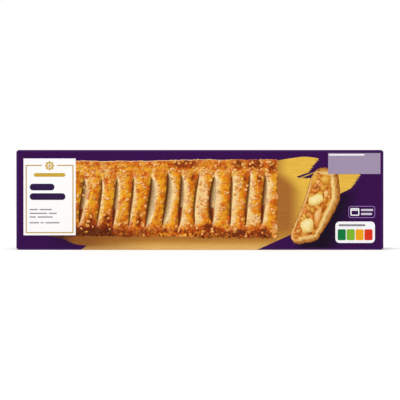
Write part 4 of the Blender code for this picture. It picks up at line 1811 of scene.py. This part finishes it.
    def print_end(self, name, panel):
        label = box(-15 * MM, 17 * MM, 30 * MM, 60 * MM)
        lay(f"{name}_white_label", fill(label), panel, 0.5, self.white, False)
        lay(f"{name}_keyline",
            broken_frame(-13.2 * MM, 18.8 * MM, 26.4 * MM, 51.4 * MM, 0.7 * MM, -6 * MM, 6 * MM),
            panel, 1.5, self.gold, False)
        lay(f"{name}_ornament", fill_all(rosette((0, 69.8 * MM), 4.0 * MM)), panel, 1.5, self.gold,
            False)
        self.title(f"{name}_title_bars", panel, 1.5, -10 * MM, 58 * MM, 0.62, self.purple)
        self.words(f"{name}_words", panel, 1.5, -10 * MM, 43 * MM, 20 * MM, 5, self.grey, 4)


# ---------------------------------------------------------------------- stage


class CARTON_OT_stage(bpy.types.Operator):
    """Set up the camera, the even studio light and the pale floor"""

    bl_idname = "carton.stage"
    bl_label = "Stage"

    def execute(self, context):
        settings = context.scene.carton_stage
        self.make_camera(context.scene, settings)
        self.make_light(context.scene, settings)
        self.make_floor(settings)
        return {"FINISHED"}

    def make_camera(self, scene, settings):
        data = bpy.data.cameras.new("camera")
        data.lens = settings.lens
        camera = bpy.data.objects.new("camera", data)
        scene.collection.objects.link(camera)
        distance = settings.view_width * settings.lens / data.sensor_width
        camera.location = (0.12 * MM, -DEPTH / 2 - distance, settings.view_height)
        camera.rotation_euler = (math.radians(90), 0, 0)
        scene.camera = camera

    def make_light(self, scene, settings):
        world = bpy.data.worlds.new("studio")
        world.use_nodes = True
        tree = world.node_tree
        room = tree.nodes["Background"]
        room.inputs["Color"].default_value = (1, 1, 1, 1)
        room.inputs["Strength"].default_value = settings.ambient
        # The sweep behind the carton shows pure white, though the room lights the carton less than that.
        sweep = add_node(tree, "ShaderNodeBackground", {"Color": (1, 1, 1, 1), "Strength": 1.0})
        path = add_node(tree, "ShaderNodeLightPath")
        seen = add_node(tree, "ShaderNodeMixShader", {0: path.outputs["Is Camera Ray"], 1: room, 2: sweep})
        tree.links.new(seen.outputs[0], tree.nodes["World Output"].inputs["Surface"])
        scene.world = world
        scene.view_settings.view_transform = "Standard"
        data = bpy.data.lights.new("softbox", "SUN")
        data.energy = settings.overhead
        data.angle = math.radians(35)
        softbox = bpy.data.objects.new("softbox", data)
        softbox.rotation_euler = Vector((-0.05, -0.175, 0.55)).to_track_quat("Z", "Y").to_euler()
        scene.collection.objects.link(softbox)

    def make_floor(self, settings):
        bm = bmesh.new()
        bmesh.ops.create_grid(bm, x_segments=1, y_segments=1, size=settings.floor / 2)
        mesh = bpy.data.meshes.new("floor")
        bm.to_mesh(mesh)
        bm.free()
        material = bpy.data.materials.new("matt_white_sheet")
        material.use_nodes = True
        shader = material.node_tree.nodes["Principled BSDF"]
        shader.inputs["Base Color"].default_value = linear("#FFFFFF")
        shader.inputs["Roughness"].default_value = 0.9
        mesh.materials.append(material)
        floor = bpy.data.objects.new("floor", mesh)
        bpy.context.scene.collection.objects.link(floor)


class CARTON_PT_looks(bpy.types.Panel):
    """Lists the steps that dress the carton"""

    bl_idname = "CARTON_PT_looks"
    bl_label = "Strudel carton"
    bl_space_type = "VIEW_3D"
    bl_region_type = "UI"
    bl_category = "Carton"

    def draw(self, context):
        for step in STEPS:
            self.layout.operator(step.bl_idname)
        for name in SETTINGS:
            group = getattr(context.scene, name)
            box_of_group = self.layout.box()
            for setting in group.__annotations__:
                box_of_group.prop(group, setting)


STEPS = (
    CARTON_OT_stage,
    CARTON_OT_board,
    CARTON_OT_gold,
    CARTON_OT_pastry,
    CARTON_OT_slice,
    CARTON_OT_label,
    CARTON_OT_marks,
    CARTON_OT_sides,
)
CLASSES = (*SETTINGS.values(), *STEPS, CARTON_PT_looks)


def register():
    for cls in CLASSES:
        bpy.utils.register_class(cls)
    for name, group in SETTINGS.items():
        setattr(bpy.types.Scene, name, PointerProperty(type=group))


def unregister():
    for name in SETTINGS:
        delattr(bpy.types.Scene, name)
    for cls in reversed(CLASSES):
        bpy.utils.unregister_class(cls)


def main():
    """Runs every step in order."""
    register()
    for step in STEPS:
        group, call = step.bl_idname.split(".")
        getattr(getattr(bpy.ops, group), call)()


if __name__ == "__main__":
    main()
